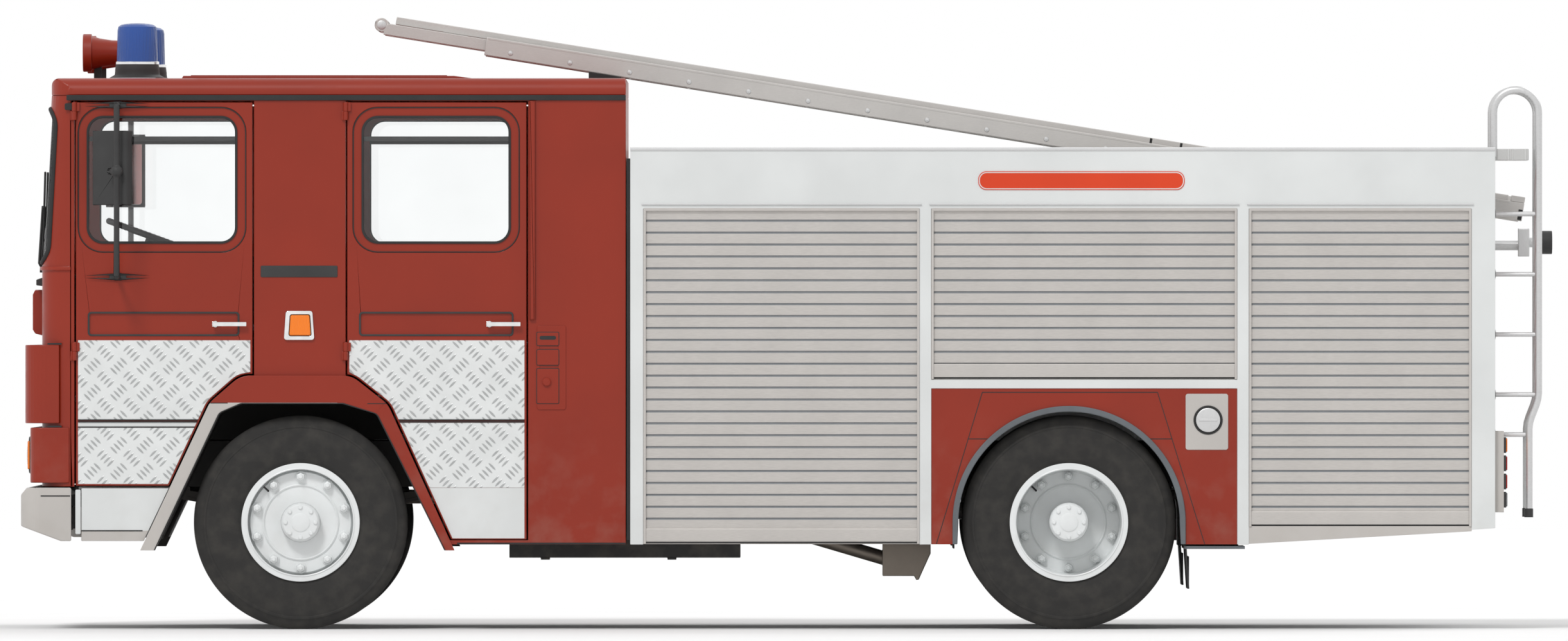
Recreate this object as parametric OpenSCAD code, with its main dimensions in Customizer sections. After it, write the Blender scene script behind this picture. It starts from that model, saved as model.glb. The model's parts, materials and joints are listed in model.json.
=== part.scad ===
// Fire engine: a two-axle water tender with a four-door crew cab, a shuttered locker body and a
// three-section ladder on its roof. Millimetres, X forward, Y to the left, Z up.
// Pieces are drawn with X = 0 at the front axle and Z = 0 on the ground. place() then moves them
// so that the origin is on the ground under the middle of the overall length.

/* [Overall] */
// Distance between the front and the rear axle
wheelbase = 3800; // [3600:10:4600]
// Width of the cab across its side panels
cab_width = 2340; // [2240:10:2480]
// Width of the locker body across its side panels
body_width = 2400; // [2340:10:2550]
// Height of the cab roof above the ground
cab_height = 2724; // [2640:1:2900]
// Height of the locker body's parapets above the ground
body_height = 2377; // [2300:1:2600]
// Distance from the front axle forward to the cab's front panel
cab_nose = 1280; // [1240:5:1400]
// Distance from the front axle back to the cab's rear wall
cab_tail = 1609; // [1560:1:1900]
// Distance from the rear axle back to the end of the locker body
body_overhang = 2106; // [1900:1:2400]

/* [Wheels and axles] */
// Radius of the tyres
tyre_r = 528; // [490:1:540]
// Width of one tyre
tyre_w = 280; // [240:1:300]
// Outer radius of the wheel rim's flange
rim_r = 293; // [270:1:300]
// Distance from the middle of the vehicle to the middle of a front tyre
front_half_track = 990; // [960:1:1010]
// Distance from the middle of the vehicle to the middle of an outer rear tyre
rear_half_track = 1010; // [990:1:1030]
// Distance between the two tyres of a rear pair, middle to middle
twin_pitch = 325; // [310:1:340]
// Distance from the middle of a front tyre inward to its kingpin
kingpin_offset = 80; // [70:1:100]
// Radius of the kingpins
kingpin_r = 20; // [16:1:26]
// Length of the steering arms, from the kingpin to the track rod's eye
steering_arm = 170; // [150:1:180]

// Radius of the bores in the towing eyes
eye_r = 21; // [16:1:26]
// Thickness of the towing eyes
eye_t = 30; // [20:1:40]

/* [Cab] */
// Thickness of the cab's side walls and doors
wall = 50; // [40:1:60]
// Gap round each door
door_gap = 8; // [7.5:0.5:12]
// Radius of the cab's front corners, seen from above
nose_r = 140; // [100:5:180]
// Backward lean of the windscreen in degrees
screen_lean = 3.2; // [2:0.1:6]
// Height of the bottom edge of the windscreen
screen_sill = 1790; // [1740:5:1850]
// Height of the bottom edge of the door windows
window_sill = 1911; // [1850:1:1950]
// Distance from the top of the cab down to the top edge of the door windows
window_drop = 192; // [160:1:270]
// Corner radius of the door windows
window_r = 75; // [50:5:110]
// Radius of the steering wheel's rim, at the middle of its tube
steering_r = 232; // [210:1:245]
// Backward tilt of the steering column in degrees
column_tilt = 20; // [15:1:30]

/* [Locker body] */
// Thickness of the body's side frames
frame_t = 40; // [30:1:50]
// Height of the top edge of the roller shutters
shutter_top = 2077; // [2000:1:2120]
// Height of one shutter slat
slat = 58.9; // [50:0.1:64]
// Half the inner width of the ladder well in the roof
well_half = 440; // [400:5:480]
// Height of the ladder well's floor
well_floor = 1960; // [1920:1:1970]
// Radius of the rear wheel openings
rear_arch_r = 574; // [570:1:600]

/* [Ladder] */
// Half the outer width of the ladder's main section
ladder_half = 320; // [300:1:350]
// Length of the ladder's main section
main_len = 5228; // [5000:1:5400]
// Depth of the main section's side beams
main_deep = 92; // [80:1:110]
// Distance between rungs
rung_pitch = 300; // [250:1:320]
// Radius of the rungs
rung_r = 11; // [9:0.5:13]
// Gap between the ladder's sliding sections and their guides
guide_gap = 0.5; // [0.3:0.1:1]

/* [Hidden] */
$fn = 48;
corner_steps = 8;         // straight pieces in each rounded corner of an outline
seat_gap = 0.3;           // gap where a curved face rests against another piece
joint = 0.3;              // gap between the plates that make up one piece
pin_gap = 0.08;           // radial gap of a pin in its bore
axle_z = tyre_r;          // wheels stand on the ground
half_cab = cab_width / 2;
half_body = body_width / 2;
cab_inner = half_cab - wall;
body_inner = half_body - frame_t;

// Chassis levels
rail_out = 432;
rail_flange = 75;
rail_t = 8;
rail_low = axle_z + 172;
rail_top = rail_low + 230;
kingpin_y = front_half_track - kingpin_offset;

// Cab levels and stations
cab_low = 419;            // bottom of the rear cab corner and of the locker body
nose_low = 705;
roof_low = cab_height - 84;
window_top = cab_height - window_drop;
a_pillar_x = cab_nose - 144;
front_hinge_x = a_pillar_x - 19;
b_front_x = 229;
rear_hinge_x = -224;
c_front_x = -1126;
cab_rear_x = -cab_tail;
deck_top = 1150;          // floor over the front wheels
deck_t = 25;
crew_floor = rail_top + 30;
deck_rear_x = -475;       // the raised floor ends here and the crew floor starts
well_y = cab_inner - 270; // inner wall of the door steps
floor_gap = 6;            // gap between the floor and the doors
floor_y = cab_inner - floor_gap;
axis_out = 13;            // distance of the door hinges outside the cab side
hinge_y = half_cab + axis_out;
hinge_r = 12;
hinge_pin_r = 6;
hinge_len = 44;

// Locker body stations
body_front_x = cab_rear_x - 22;
rear_axle_x = -wheelbase;
body_rear_x = rear_axle_x - body_overhang;
post = 58;                // width of the posts between the shutters
bay1 = [rear_axle_x + 739, body_front_x - 65];
bay2 = [rear_axle_x - 831, rear_axle_x + 681];
bay3 = [body_rear_x + 117, rear_axle_x - 889];
tail_rise = 81;           // the body's underside rises this much behind the rear wheels
locker_y = 790;           // inner wall of the low side lockers
locker_low = cab_low + 11;
shelf_z = 1190;           // floor of the lockers over the rear wheels
bay2_low = shelf_z + 44;

// Ladder line: it clears the rear edge of the cab roof and ends just behind the body
roof_clear = 8;
heel_out = 155;
heel_x = body_rear_x - heel_out;
heel_z = well_floor + 59;
ladder_rise = atan((cab_height + roof_clear - heel_z) / (cab_rear_x - heel_x));
mid_low = 2 * rung_r + guide_gap; // the middle section's height above the main section's underside
mid_deep = 58;
top_deep = 39;
beam_t = 30;
mid_reach = 512;          // how far the middle section stands out of the main one, closed
top_reach = 460;

// Rear fittings
tube_r = 19;
rear_rail_x = body_rear_x - 219;
knob_x = body_rear_x - 316;
bumper_x = cab_nose + 103;
shift = -(bumper_x + knob_x) / 2;

red = "#9a3a28";
pale = "#dadcdb";
grey = "#bfbab6";
dark = "#3b3a39";
glass = "#b9cdd6";
blue = "#2a55a0";

// ---------------------------------------------------------------- outlines and slabs

function unit(v) = v / norm(v);

// Points of an arc of radius r that rounds the corner b between a and c
function corner(a, b, c, r) =
    r <= 0 ? [b] :
    let (u = unit(a - b), v = unit(c - b),
         half = acos(max(-1, min(1, u * v))) / 2,
         centre = b + unit(u + v) * r / sin(half),
         from = b + u * r / tan(half) - centre,
         to = b + v * r / tan(half) - centre,
         turn = (from[0] * to[1] - from[1] * to[0] > 0 ? 1 : -1) * (180 - 2 * half))
    [for (i = [0 : corner_steps])
        let (t = turn * i / corner_steps)
        centre + [from[0] * cos(t) - from[1] * sin(t), from[0] * sin(t) + from[1] * cos(t)]];

// An outline with its corners rounded; r is one radius or a list with one for each point
function rounded(p, r) =
    let (n = len(p))
    [for (i = [0 : n - 1]) each corner(p[(i + n - 1) % n], p[i], p[(i + 1) % n], is_list(r) ? r[i] : r)];

function box_points(x, y) = [[x[0], y[0]], [x[1], y[0]], [x[1], y[1]], [x[0], y[1]]];

module box2(x, y, r = 0) polygon(rounded(box_points(x, y), r));

// A box given by its lowest and highest coordinates
module block(x, y, z) translate([x[0], y[0], z[0]]) cube([x[1] - x[0], y[1] - y[0], z[1] - z[0]]);

// Extrudes an X-Z outline along Y, a Y-Z outline along X, or an X-Y outline along Z
module slab_y(y) translate([0, y[1], 0]) rotate([90, 0, 0]) linear_extrude(y[1] - y[0]) children();
module slab_x(x) translate([x[0], 0, 0]) rotate([90, 0, 90]) linear_extrude(x[1] - x[0]) children();
module slab_z(z) translate([0, 0, z[0]]) linear_extrude(z[1] - z[0]) children();

// A rod from a along X, Y or Z
module rod_x(a, len, r) translate(a) rotate([0, 90, 0]) cylinder(r = r, h = len);
module rod_y(a, len, r) translate(a) rotate([-90, 0, 0]) cylinder(r = r, h = len);
module rod_z(a, len, r) translate(a) cylinder(r = r, h = len);

// A rod between two points of a plane of constant Y
module rod_between(a, b, r) {
    d = b - a;
    translate(a) rotate([0, atan2(d[0], d[2]), 0]) cylinder(r = r, h = norm(d));
}

module both_sides() {
    children();
    mirror([0, 1, 0]) children();
}
module right_side() mirror([0, 1, 0]) children();
module place() translate([shift, 0, 0]) children();

// ---------------------------------------------------------------- chassis

module chassis_frame() {
    stations = [cab_nose - 240, -420, body_front_x - 120, rear_axle_x + 900, rear_axle_x - 850];
    rail_end = body_rear_x + frame_t;
    rail_x = [rail_end + 60 + joint, a_pillar_x - 36];
    web_y = rail_out - rail_t;
    color(dark) {
        both_sides() {
            block(rail_x, [web_y, rail_out], [rail_low, rail_top]);
            for (z = [rail_low, rail_top - rail_t])
                block(rail_x, [rail_out - rail_flange, web_y - joint], [z, z + rail_t]);
            for (x = [700, -200])
                block([x - 50, x + 50], [330, web_y - joint], [rail_low + 60, rail_low + 120]);
            tow_eye(rail_end + 60, 548, rail_low - joint, 1);
        }
        for (x = stations)
            block([x - 30, x + 30], [joint - web_y, web_y - joint], [rail_top - 70, rail_top - rail_t - joint]);
        block([rail_end, rail_end + 60], [-rail_out, rail_out], [rail_low, rail_top]);
    }
}

module engine_and_gearbox() color(dark) {
    block([-50, 950], [-330, 330], [axle_z + 112, 1390]);
    block([-350, -50 - joint], [-200, 200], [axle_z + 132, axle_z + 432]);
}

module front_axle() color(dark) difference() {
    union() {
        slab_x([-45, 45]) polygon([
            [-kingpin_y + 20, axle_z - 28], [-700, axle_z - 28], [-560, axle_z - 98],
            [560, axle_z - 98], [700, axle_z - 28], [kingpin_y - 20, axle_z - 28],
            [kingpin_y - 20, axle_z + 28], [700, axle_z + 28], [540, axle_z - 8],
            [-540, axle_z - 8], [-700, axle_z + 28], [-kingpin_y + 20, axle_z + 28]]);
        both_sides() {
            rod_z([0, kingpin_y, axle_z - 70], 140, 44);
            block([-110, 110], [rail_out - 77, rail_out + 3], [axle_z - 30, axle_z + 17]);
        }
    }
    both_sides() rod_z([0, kingpin_y, axle_z - 80], 160, kingpin_r + pin_gap);
}

rear_tube = rear_half_track - twin_pitch - 70;  // half the length of the axle's outer tube
module rear_axle() color(dark) translate([rear_axle_x, 0, axle_z]) {
    rod_y([0, -rear_tube, 0], 2 * rear_tube, 70);
    rod_y([0, -rear_half_track - rear_cap + 10, 0], 2 * (rear_half_track + rear_cap - 10), rear_spindle_r);
    rod_x([-100, 0, 0], 200, 190);
    rod_x([0, 0, 32], 240, 88);
    both_sides() block([-130, 130], [rail_out - 77, rail_out + 3], [30, 78]);
}

module leaf_pack(x, half, seat, ends) {
    slab_y([rail_out - rail_flange, rail_out]) polygon([
        [x - half, ends[0]], [x - half / 2, seat + 0.4 * (ends[0] - seat)], [x - 110, seat], [x + 110, seat],
        [x + half / 2, seat + 0.4 * (ends[0] - seat)], [x + half, ends[0]], [x + half, rail_low],
        [x + half - 80, rail_low], [x + half - 80, ends[1]], [x + half / 2, ends[1] - 30], [x, ends[1] - 44],
        [x - half / 2, ends[1] - 30], [x - half + 80, ends[1]], [x - half + 80, rail_low], [x - half, rail_low]]);
}

module leaf_springs() color(dark) both_sides() {
    leaf_pack(0, 640, axle_z + 17, [rail_low - 55, rail_low - 20]);
    leaf_pack(rear_axle_x, 720, axle_z + 78, [rail_low - 50, rail_low - 5]);
}

module propshaft() color(dark) {
    front = [-350, 0, axle_z + 252];
    back = [rear_axle_x + 240, 0, axle_z + 32];
    rod_x(front - [40, 0, 0], 40, 70);
    rod_x(back, 40, 70);
    rod_between(back + [38, 0, 0], front - [38, 0, 0], 42);
}

pipe_r = 35;
pipe_z = rail_low - 50;
module exhaust() {
    inner_y = 280;
    outer_y = 500;
    turn_x = rear_axle_x + 1943;
    box_x = rear_axle_x + 920;
    color(dark) {
        rod_x([turn_x, inner_y, pipe_z], -50 - turn_x, pipe_r);
        rod_y([turn_x, inner_y, pipe_z], outer_y - inner_y, pipe_r);
        rod_between([box_x - 20, outer_y, 342], [turn_x, outer_y, pipe_z], pipe_r);
        for (y = [inner_y, outer_y]) translate([turn_x, y, pipe_z]) sphere(r = pipe_r + 4);
        slab_y([outer_y - 60, outer_y + 140]) polygon([
            [box_x, 440], [box_x - 239, 440], [box_x - 239, 370], [box_x - 198, 280],
            [box_x - 180, 240], [box_x - 168, 238], [box_x - 156, 258], [box_x, 258]]);
        rod_z([box_x - 120, outer_y, 430], rail_low - 430 + 60, 20);
        block([box_x - 140, box_x - 100], [rail_out, outer_y], [rail_low + 30, rail_low + 60]);
    }
}

tank_x = [body_front_x - 544, -1029];
tank_y = [545, 765];
tank_z = [350, axle_z + 162];
module tank(x, z) {
    block(x, tank_y, z);
    for (strap = [x[0] + 340, x[1] - 178]) {
        block([strap - 22, strap + 22], [tank_y[0] - 6, tank_y[1] + 6], [z[0] - 10, z[0]]);
        block([strap - 22, strap + 22], [rail_out, tank_y[1] + 6], [z[1], rail_low + 20]);
    }
}
module fuel_tank() color(dark) tank(tank_x, tank_z);
module battery_box() color(dark) mirror([0, 1, 0]) tank([tank_x[0] + 100, tank_x[1] - 200], tank_z + [20, 0]);

// ---------------------------------------------------------------- cab shell

// The cab's front end seen from above, drawn smaller by inset
module nose_plan(inset, x0) {
    r = nose_r - inset;
    w = half_cab - inset;
    polygon(rounded([[x0, -w], [cab_nose - inset, -w], [cab_nose - inset, w], [x0, w]], [0, r, r, 0]));
}

// Draws the leaning part of the cab's front end, which hinges on the windscreen's bottom edge
module leaning() translate([cab_nose, 0, screen_sill]) rotate([0, -screen_lean, 0]) translate([-cab_nose, 0, 0]) children();

// A wall that follows the front end's plan, between two insets
module nose_wall(inset, t, x0) difference() {
    nose_plan(inset, x0);
    nose_plan(inset + t, x0 - 1);
}

// The windscreen's opening, drawn smaller by inset
module screen_outline(inset) {
    half = half_cab - 48 - inset;
    slab_x([-nose_r + 8 + inset, 60]) box2([-half, half], [20 + inset, roof_low - screen_sill - 66 - inset], 95 - inset);
}

nose_t = wall - 5;
sill_bead = 10;
module cab_front() color(red) difference() {
    union() {
        slab_z([nose_low, screen_sill - 2]) nose_wall(0, nose_t, a_pillar_x);
        slab_z([screen_sill - 16, screen_sill + 2]) nose_wall(-sill_bead, nose_t + 2 * sill_bead, a_pillar_x);
        intersection() {
            leaning() slab_z([-20, 1100]) nose_wall(0, nose_t, a_pillar_x - 200);
            block([a_pillar_x, cab_nose + 10], [-half_cab, half_cab], [screen_sill, roof_low]);
        }
    }
    leaning() translate([cab_nose, 0, 0]) screen_outline(0);
}

module windscreen() color(glass) leaning() intersection() {
    slab_z([0, 1000]) nose_wall(8, 8, a_pillar_x);
    translate([cab_nose, 0, 0]) screen_outline(seat_gap);
}

// The front wheel arch seen from the side: each row is one corner, [outer x, outer z, inner x, inner z]
arch_table = [
    [788, 390, 718, 390],
    [444, 1120, 396, 1069],
    [293, 1251, 290, 1113],
    [-251, 1251, -210, 1113],
    [-430, 1110, -376, 1063],
    [-759, 390, -712, 390]];
arch_round_out = [0, 130, 130, 130, 130, 0];
arch_round_in = [0, 40, 40, 40, 40, 0];
arch_lift = axle_z - 528;

function arch_outer(grow) =
    let (push = [[1.1, 0], [1, 0.5], [0.5, 1], [-0.5, 1], [-1, 0.5], [-1.1, 0]])
    rounded([for (i = [0 : 5]) [arch_table[i][0], arch_table[i][1] + arch_lift] + grow * push[i]], arch_round_out);
function arch_inner(grow) =
    let (push = [[1.1, 0], [1, 0.5], [0.5, 1], [-0.5, 1], [-1, 0.5], [-1.1, 0]])
    rounded([for (i = [0 : 5]) [arch_table[i][2], arch_table[i][3] + arch_lift] + grow * push[i]], arch_round_in);

module cab_sides() color(red) both_sides() {
    slab_y([cab_inner, half_cab]) difference() {
        polygon([[cab_rear_x, cab_low], [front_hinge_x, cab_low], [front_hinge_x, nose_low],
                 [a_pillar_x, nose_low], [a_pillar_x, roof_low], [cab_rear_x, roof_low]]);
        box2([b_front_x, front_hinge_x], [0, roof_low - 28]);
        box2([c_front_x, rear_hinge_x], [cab_low + 21, roof_low - 28]);
        polygon(arch_outer(0));
    }
    gutter();
    hinge_mounts(front_hinge_x);
    hinge_mounts(rear_hinge_x);
}

// Drip rail over the doors
module gutter() block([cab_rear_x, a_pillar_x + 20], [half_cab, half_cab + 10], [roof_low - 26, roof_low]);

hinge_heights = [roof_low - 80, 1373];

// The cab's half of the door hinges: a leaf on the pillar, and a barrel with a bore for the door's pin
module hinge_mounts(x) for (z = hinge_heights) difference() {
    union() {
        rod_z([x, hinge_y, z - hinge_len], hinge_len, hinge_r);
        block([x, x + 18], [half_cab, hinge_y], [z - hinge_len, z]);
    }
    rod_z([x, hinge_y, z - hinge_len - 1], hinge_len + 2, hinge_pin_r + pin_gap);
}

// The door's half of the hinges: a leaf on the door, a barrel, and the pin below it
module hinge_leaves(x) for (z = hinge_heights) {
    rod_z([x, hinge_y, z + seat_gap], hinge_len, hinge_r);
    rod_z([x, hinge_y, z - hinge_len + 4], hinge_len, hinge_pin_r);
    block([x - door_gap - 18, x], [half_cab, hinge_y], [z + seat_gap, z + hinge_len]);
}

roof_t = 38;
pad_h = 14;
module cab_roof() color(red) {
    front_x = cab_nose - (roof_low - screen_sill) * tan(screen_lean);
    difference() {
        intersection() {
            slab_x([cab_rear_x, front_x]) polygon(rounded(
                [[-half_cab, roof_low], [half_cab, roof_low], [half_cab, cab_height], [-half_cab, cab_height]],
                [0, 0, 70, 70]));
            slab_y([-half_cab, half_cab]) polygon(rounded(
                [[cab_rear_x, roof_low], [front_x, roof_low], [front_x, cab_height], [cab_rear_x, cab_height]],
                [0, 0, 40, 6]));
            slab_z([roof_low, cab_height]) polygon(rounded(
                [[cab_rear_x, -half_cab], [front_x, -half_cab], [front_x, half_cab], [cab_rear_x, half_cab]],
                [0, nose_r - 15, nose_r - 15, 0]));
        }
        block([cab_rear_x + 40, front_x - 150], [-cab_inner, cab_inner], [roof_low - 1, cab_height - roof_t]);
    }
    slab_y([-880, 880]) polygon([[593, cab_height], [586, cab_height + pad_h], [-756, cab_height + pad_h], [-861, cab_height]]);
}

module cab_rear_wall() color(red) slab_x([cab_rear_x, cab_rear_x + 40]) polygon([
    [-cab_inner, cab_low], [-locker_y, cab_low], [-locker_y, rail_top], [locker_y, rail_top],
    [locker_y, cab_low], [cab_inner, cab_low], [cab_inner, roof_low], [-cab_inner, roof_low]]);

// ---------------------------------------------------------------- cab floor, arches and front

front_well = [640, 1098];
rear_well = [c_front_x, -715];
step_x = [790, 1083];
cover_t = 20;
cover = [[-90, 990], 380, 1430];    // engine cover: x range, half width, top

module cab_floor() color(grey) {
    deck = [deck_top - deck_t, deck_top];
    nose_x = cab_nose - wall - floor_gap;
    outer_y = [well_y + joint, floor_y];
    under = deck[0] - joint;
    // engine cover
    block(cover[0], [-cover[1], cover[1]], [cover[2] - cover_t, cover[2]]);
    for (x = [cover[0][0], cover[0][1] - cover_t])
        block([x, x + cover_t], [-cover[1], cover[1]], [deck[0], cover[2] - cover_t - joint]);
    both_sides() block(cover[0] + [cover_t + joint, -cover_t - joint], [cover[1] - cover_t, cover[1]],
                       [deck[0], cover[2] - cover_t - joint]);
    // raised floor round the cover
    block([deck_rear_x, deck_rear_x + 15], [-floor_y, floor_y], [rail_top, deck_top]);
    for (x = [[deck_rear_x + 15 + joint, cover[0][0] - joint], [cover[0][1] + joint, nose_x]])
        block(x, [-well_y, well_y], deck);
    both_sides() {
        block(cover[0], [cover[1] + joint, well_y], deck);
        block([deck_rear_x + 15 + joint, front_well[0] - joint], outer_y, deck);
        intersection() {
            slab_z(deck) nose_plan(wall + floor_gap, deck_rear_x);
            block([front_well[1] + joint, nose_x], outer_y, deck);
        }
    }
    // crew floor
    block([cab_rear_x + 40, deck_rear_x - joint], [-well_y, well_y], [rail_top, crew_floor]);
    both_sides() {
        for (x = [[cab_rear_x + 40, rear_well[0] - joint], [rear_well[1] + joint, deck_rear_x - joint]])
            block(x, outer_y, [rail_top, crew_floor]);
        step_well(front_well, nose_low - 15, under);
        step_well(rear_well, cab_low + 6, rail_top - joint);
        slab_y([half_cab - 30, half_cab]) polygon([
            [step_x[1], 436], [step_x[1], nose_low - 8], [step_x[0] - 140, nose_low - 8], [step_x[0] - 15, 436]]);
        block(step_x, [well_y + 15 + joint, half_cab - 30 - joint], [436, 450]);
        block(step_x, [well_y, well_y + 15], [436, nose_low - 15 - joint]);
    }
}

// A step behind a door: tread, inner wall and two end walls, up to the underside of the floor
module step_well(x, low, under) {
    block(x, [well_y + joint, floor_y], [low, low + 15]);
    block([x[0] - 15, x[1] + 15], [well_y - 15, well_y], [low, under]);
    for (end = [[x[0] - 15, x[0] - joint], [x[1] + joint, x[1] + 15]])
        block(end, [well_y + joint, floor_y], [low, under]);
}

flare = 25;
flare_lap = 3;            // the flare overlaps the cab's skin by this much
housing_t = 8;
module wheel_arches() both_sides() {
    color(red) slab_y([half_cab, half_cab + flare]) difference() {
        polygon(arch_outer(flare_lap));
        polygon(arch_inner(0));
    }
    color(dark) slab_y([rail_out + 130, half_cab]) difference() {
        polygon(arch_inner(housing_t));
        polygon(arch_inner(0));
        box2([-2000, 2000], [0, 440]);
    }
}

grille_z = [1018, 1405];
lamp_panel_z = [724, 996];
badge_z = [1451, 1678];
module front_panels() color(red) {
    difference() {
        panel_shell(82, cab_nose - 87, 100, grille_z);
        block([cab_nose + 22, cab_nose + 100], [-760, 760], grille_z + [44, -44]);
    }
    for (i = [0 : 5])
        block([cab_nose + 22, cab_nose + 66], [-760, 760], [grille_z[0] + 70 + i * 45, grille_z[0] + 82 + i * 45]);
    panel_shell(56, a_pillar_x + 7, 60, lamp_panel_z);
    slab_y([-850, 850]) polygon([[cab_nose, badge_z[0]], [cab_nose + 40, badge_z[0] + 10], [cab_nose + 52, badge_z[0] + 30],
        [cab_nose + 52, badge_z[1] - 24], [cab_nose + 40, badge_z[1]], [cab_nose, badge_z[1]]]);
}

// A cap that hugs the cab's front end: it stands out in front by depth and returns along the sides to x0
module panel_shell(depth, x0, r, z) difference() {
    slab_z(z) polygon(rounded([[x0, -half_cab - 8], [cab_nose + depth, -half_cab - 8],
        [cab_nose + depth, half_cab + 8], [x0, half_cab + 8]], [0, r, r, 0]));
    slab_z(z + [-1, 1]) nose_plan(-seat_gap, x0 - 200);
}

lamp_y = [640, 850];
lamp_r = 82;
module headlamps() color(pale) both_sides() for (y = lamp_y)
    translate([cab_nose + 56, y, 860]) rotate([0, 90, 0]) rotate_extrude() polygon([
        [0, 0], [lamp_r + 12, 0], [lamp_r + 12, 8], [lamp_r, 12], [lamp_r - 22, 20], [lamp_r - 52, 25], [0, 26]]);

// A towing eye: a level plate with an upright bore, on a web that hangs from top; the web stands
// ahead of the bore where ahead is 1, and behind it where ahead is -1
module tow_eye(x, z, top, ahead) {
    y = rail_out - rail_flange / 2;
    slab_z([z - eye_t / 2, z + eye_t / 2]) difference() {
        union() {
            translate([x, y]) circle(r = 44);
            box2([min(x, x + ahead * 95), max(x, x + ahead * 95)], [y - 44, y + 44]);
        }
        translate([x, y]) circle(r = eye_r);
    }
    block([x + ahead * 80 - 15, x + ahead * 80 + 15], [y - 44, y + 44], [z, top]);
}

module front_bumper() color(grey) {
    half = half_cab + 20;
    x0 = a_pillar_x - 3;
    carrier_z = [rail_low - 100, rail_low - 35];
    carrier_y = [rail_out - rail_flange, rail_out];
    difference() {
        intersection() {
            slab_y([-half, half]) polygon([[x0, 436], [bumper_x - 199, 436], [bumper_x, 510], [bumper_x, 664],
                                           [bumper_x - 31, 700], [x0, 700]]);
            slab_z([400, 720]) polygon(rounded([[x0, -half], [bumper_x, -half], [bumper_x, half], [x0, half]], [0, 90, 90, 0]));
        }
        block([x0 - 1, bumper_x - 60], [-half + 40, half - 40], [430, 664]);
    }
    both_sides() {
        block([a_pillar_x - 96, bumper_x - 50], carrier_y, carrier_z);
        block([a_pillar_x - 96, a_pillar_x - 36], carrier_y, [carrier_z[1], rail_low]);
        tow_eye(bumper_x - 143, 500, carrier_z[0] + 1, -1);
    }
}

// ---------------------------------------------------------------- cab inside and roof equipment

driver_y = -640;
wheel_centre = [774, driver_y, 1945];
column_len = 840;
module dashboard() color(dark) {
    slab_y([-1015, 1015]) polygon([[990, 1500], [cab_nose - wall + 5, 1500], [cab_nose - wall + 5, 1740],
                                   [1040, 1760], [1000, 1700]]);
    difference() {
        translate(wheel_centre) rotate([0, 180 - column_tilt, 0]) translate([0, 0, 55]) rod_z([0, 0, 0], column_len, 32);
        block([0, 2000], [-1200, 0], [0, deck_top]);
    }
    slab_y([driver_y - 190, driver_y + 190]) polygon([[940, 1620], [1040, 1620], [1040, 1830], [1000, 1830]]);
    slab_y([driver_y - 55, driver_y + 55]) polygon([[850, 1690], [1010, 1640], [1010, 1740], [880, 1770]]);
}

module steering_wheel() color(dark) translate(wheel_centre) rotate([0, -column_tilt, 0]) {
    rotate_extrude() translate([steering_r, 0]) circle(r = 16);
    rod_z([0, 0, -55 + seat_gap], 45, 30);
    rod_z([0, 0, -20], 26, 55);
    for (a = [45, 135, 225, 315]) rotate([0, 0, a]) rod_x([40, 0, -6], steering_r - 40, 9);
}

// One seat: its pedestal, cushion and back
module seat(x, y, floor_z, high) {
    block([x + 60, x + 440], [y[0] + 50, y[1] - 50], [floor_z, high - 110]);
    slab_y(y) polygon(rounded([[x, high - 110], [x + 500, high - 110], [x + 500, high], [x + 90, high],
                               [x + 60, high + 390], [x - 40, high + 390]], [10, 30, 40, 20, 30, 30]));
}

module seats() color(dark) {
    for (y = [driver_y, -driver_y]) seat(20, [y - 235, y + 235], deck_top, 1500);
    seat(cab_rear_x + 86, [-980, 980], crew_floor, 1420);
}

beacon_x = 816;
beacon_y = 760;
module beacons() both_sides() translate([beacon_x, beacon_y, cab_height]) {
    color(dark) rotate_extrude() polygon([[0, 0], [138, 0], [138, 6], [114, 16], [112, 18], [104, 78], [0, 78]]);
    color(blue) rotate_extrude() polygon([[0, 78 + 0.01], [103, 78 + 0.01], [98, 245], [92, 262], [60, 272], [0, 276]]);
}

horn_y = 420;
module horns() color(red) both_sides() translate([0, horn_y, cab_height + 132]) {
    rod_x([1050, 0, 0], 44, 94);
    translate([840, 0, 0]) rotate([0, 90, 0]) cylinder(r1 = 62, r2 = 84, h = 211);
    rod_x([800, 0, 0], 41, 70);
    block([1000, 1040], [-30, 30], [-132, -60]);
    block([840, 880], [-30, 30], [-132, -50]);
}

// ---------------------------------------------------------------- doors and mirrors

door_bottom_front = nose_low + 5;
door_bottom_rear = cab_low + 26;

// Each row is one door: hinge x, rear edge x, bottom z, window front x, window rear x
door_table = [
    [front_hinge_x, b_front_x, door_bottom_front, front_hinge_x - 66, b_front_x + 88],
    [rear_hinge_x, c_front_x, door_bottom_rear, rear_hinge_x - 84, c_front_x + 91]];

module window_shape(d, grow) box2([d[4] - grow, d[3] + grow], [window_sill - grow, window_top + grow], window_r + grow);

module door(d) {
    color(red) {
        difference() {
            slab_y([cab_inner, half_cab]) difference() {
                box2([d[1] + door_gap, d[0] - door_gap], [d[2], roof_low - 28 - door_gap]);
                polygon(arch_outer(door_gap + flare_lap));
                window_shape(d, 0);
            }
            slab_y([half_cab - 5, half_cab + 1]) window_shape(d, 50);
            slab_y([half_cab - 6, half_cab + 1]) box2([d[1] + 80, d[0] - 74], [1457, 1561], 16);
        }
        slab_y([cab_inner, cab_inner + 22]) box2([d[4] - 1, d[3] + 1], [window_top - 120, window_top - 96]);
        hinge_leaves(d[0]);
    }
    color(grey) door_handle(d[1] + 191);
}

module door_handle(x) {
    rod_y([x, half_cab - 6, 1508], 34, 16);
    block([x - 154, x + 12], [half_cab + 20, half_cab + 32], [1498, 1518]);
}

module door_glass(d) color(glass) slab_y([cab_inner + 26, cab_inner + 32]) window_shape(d, -seat_gap);

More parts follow.
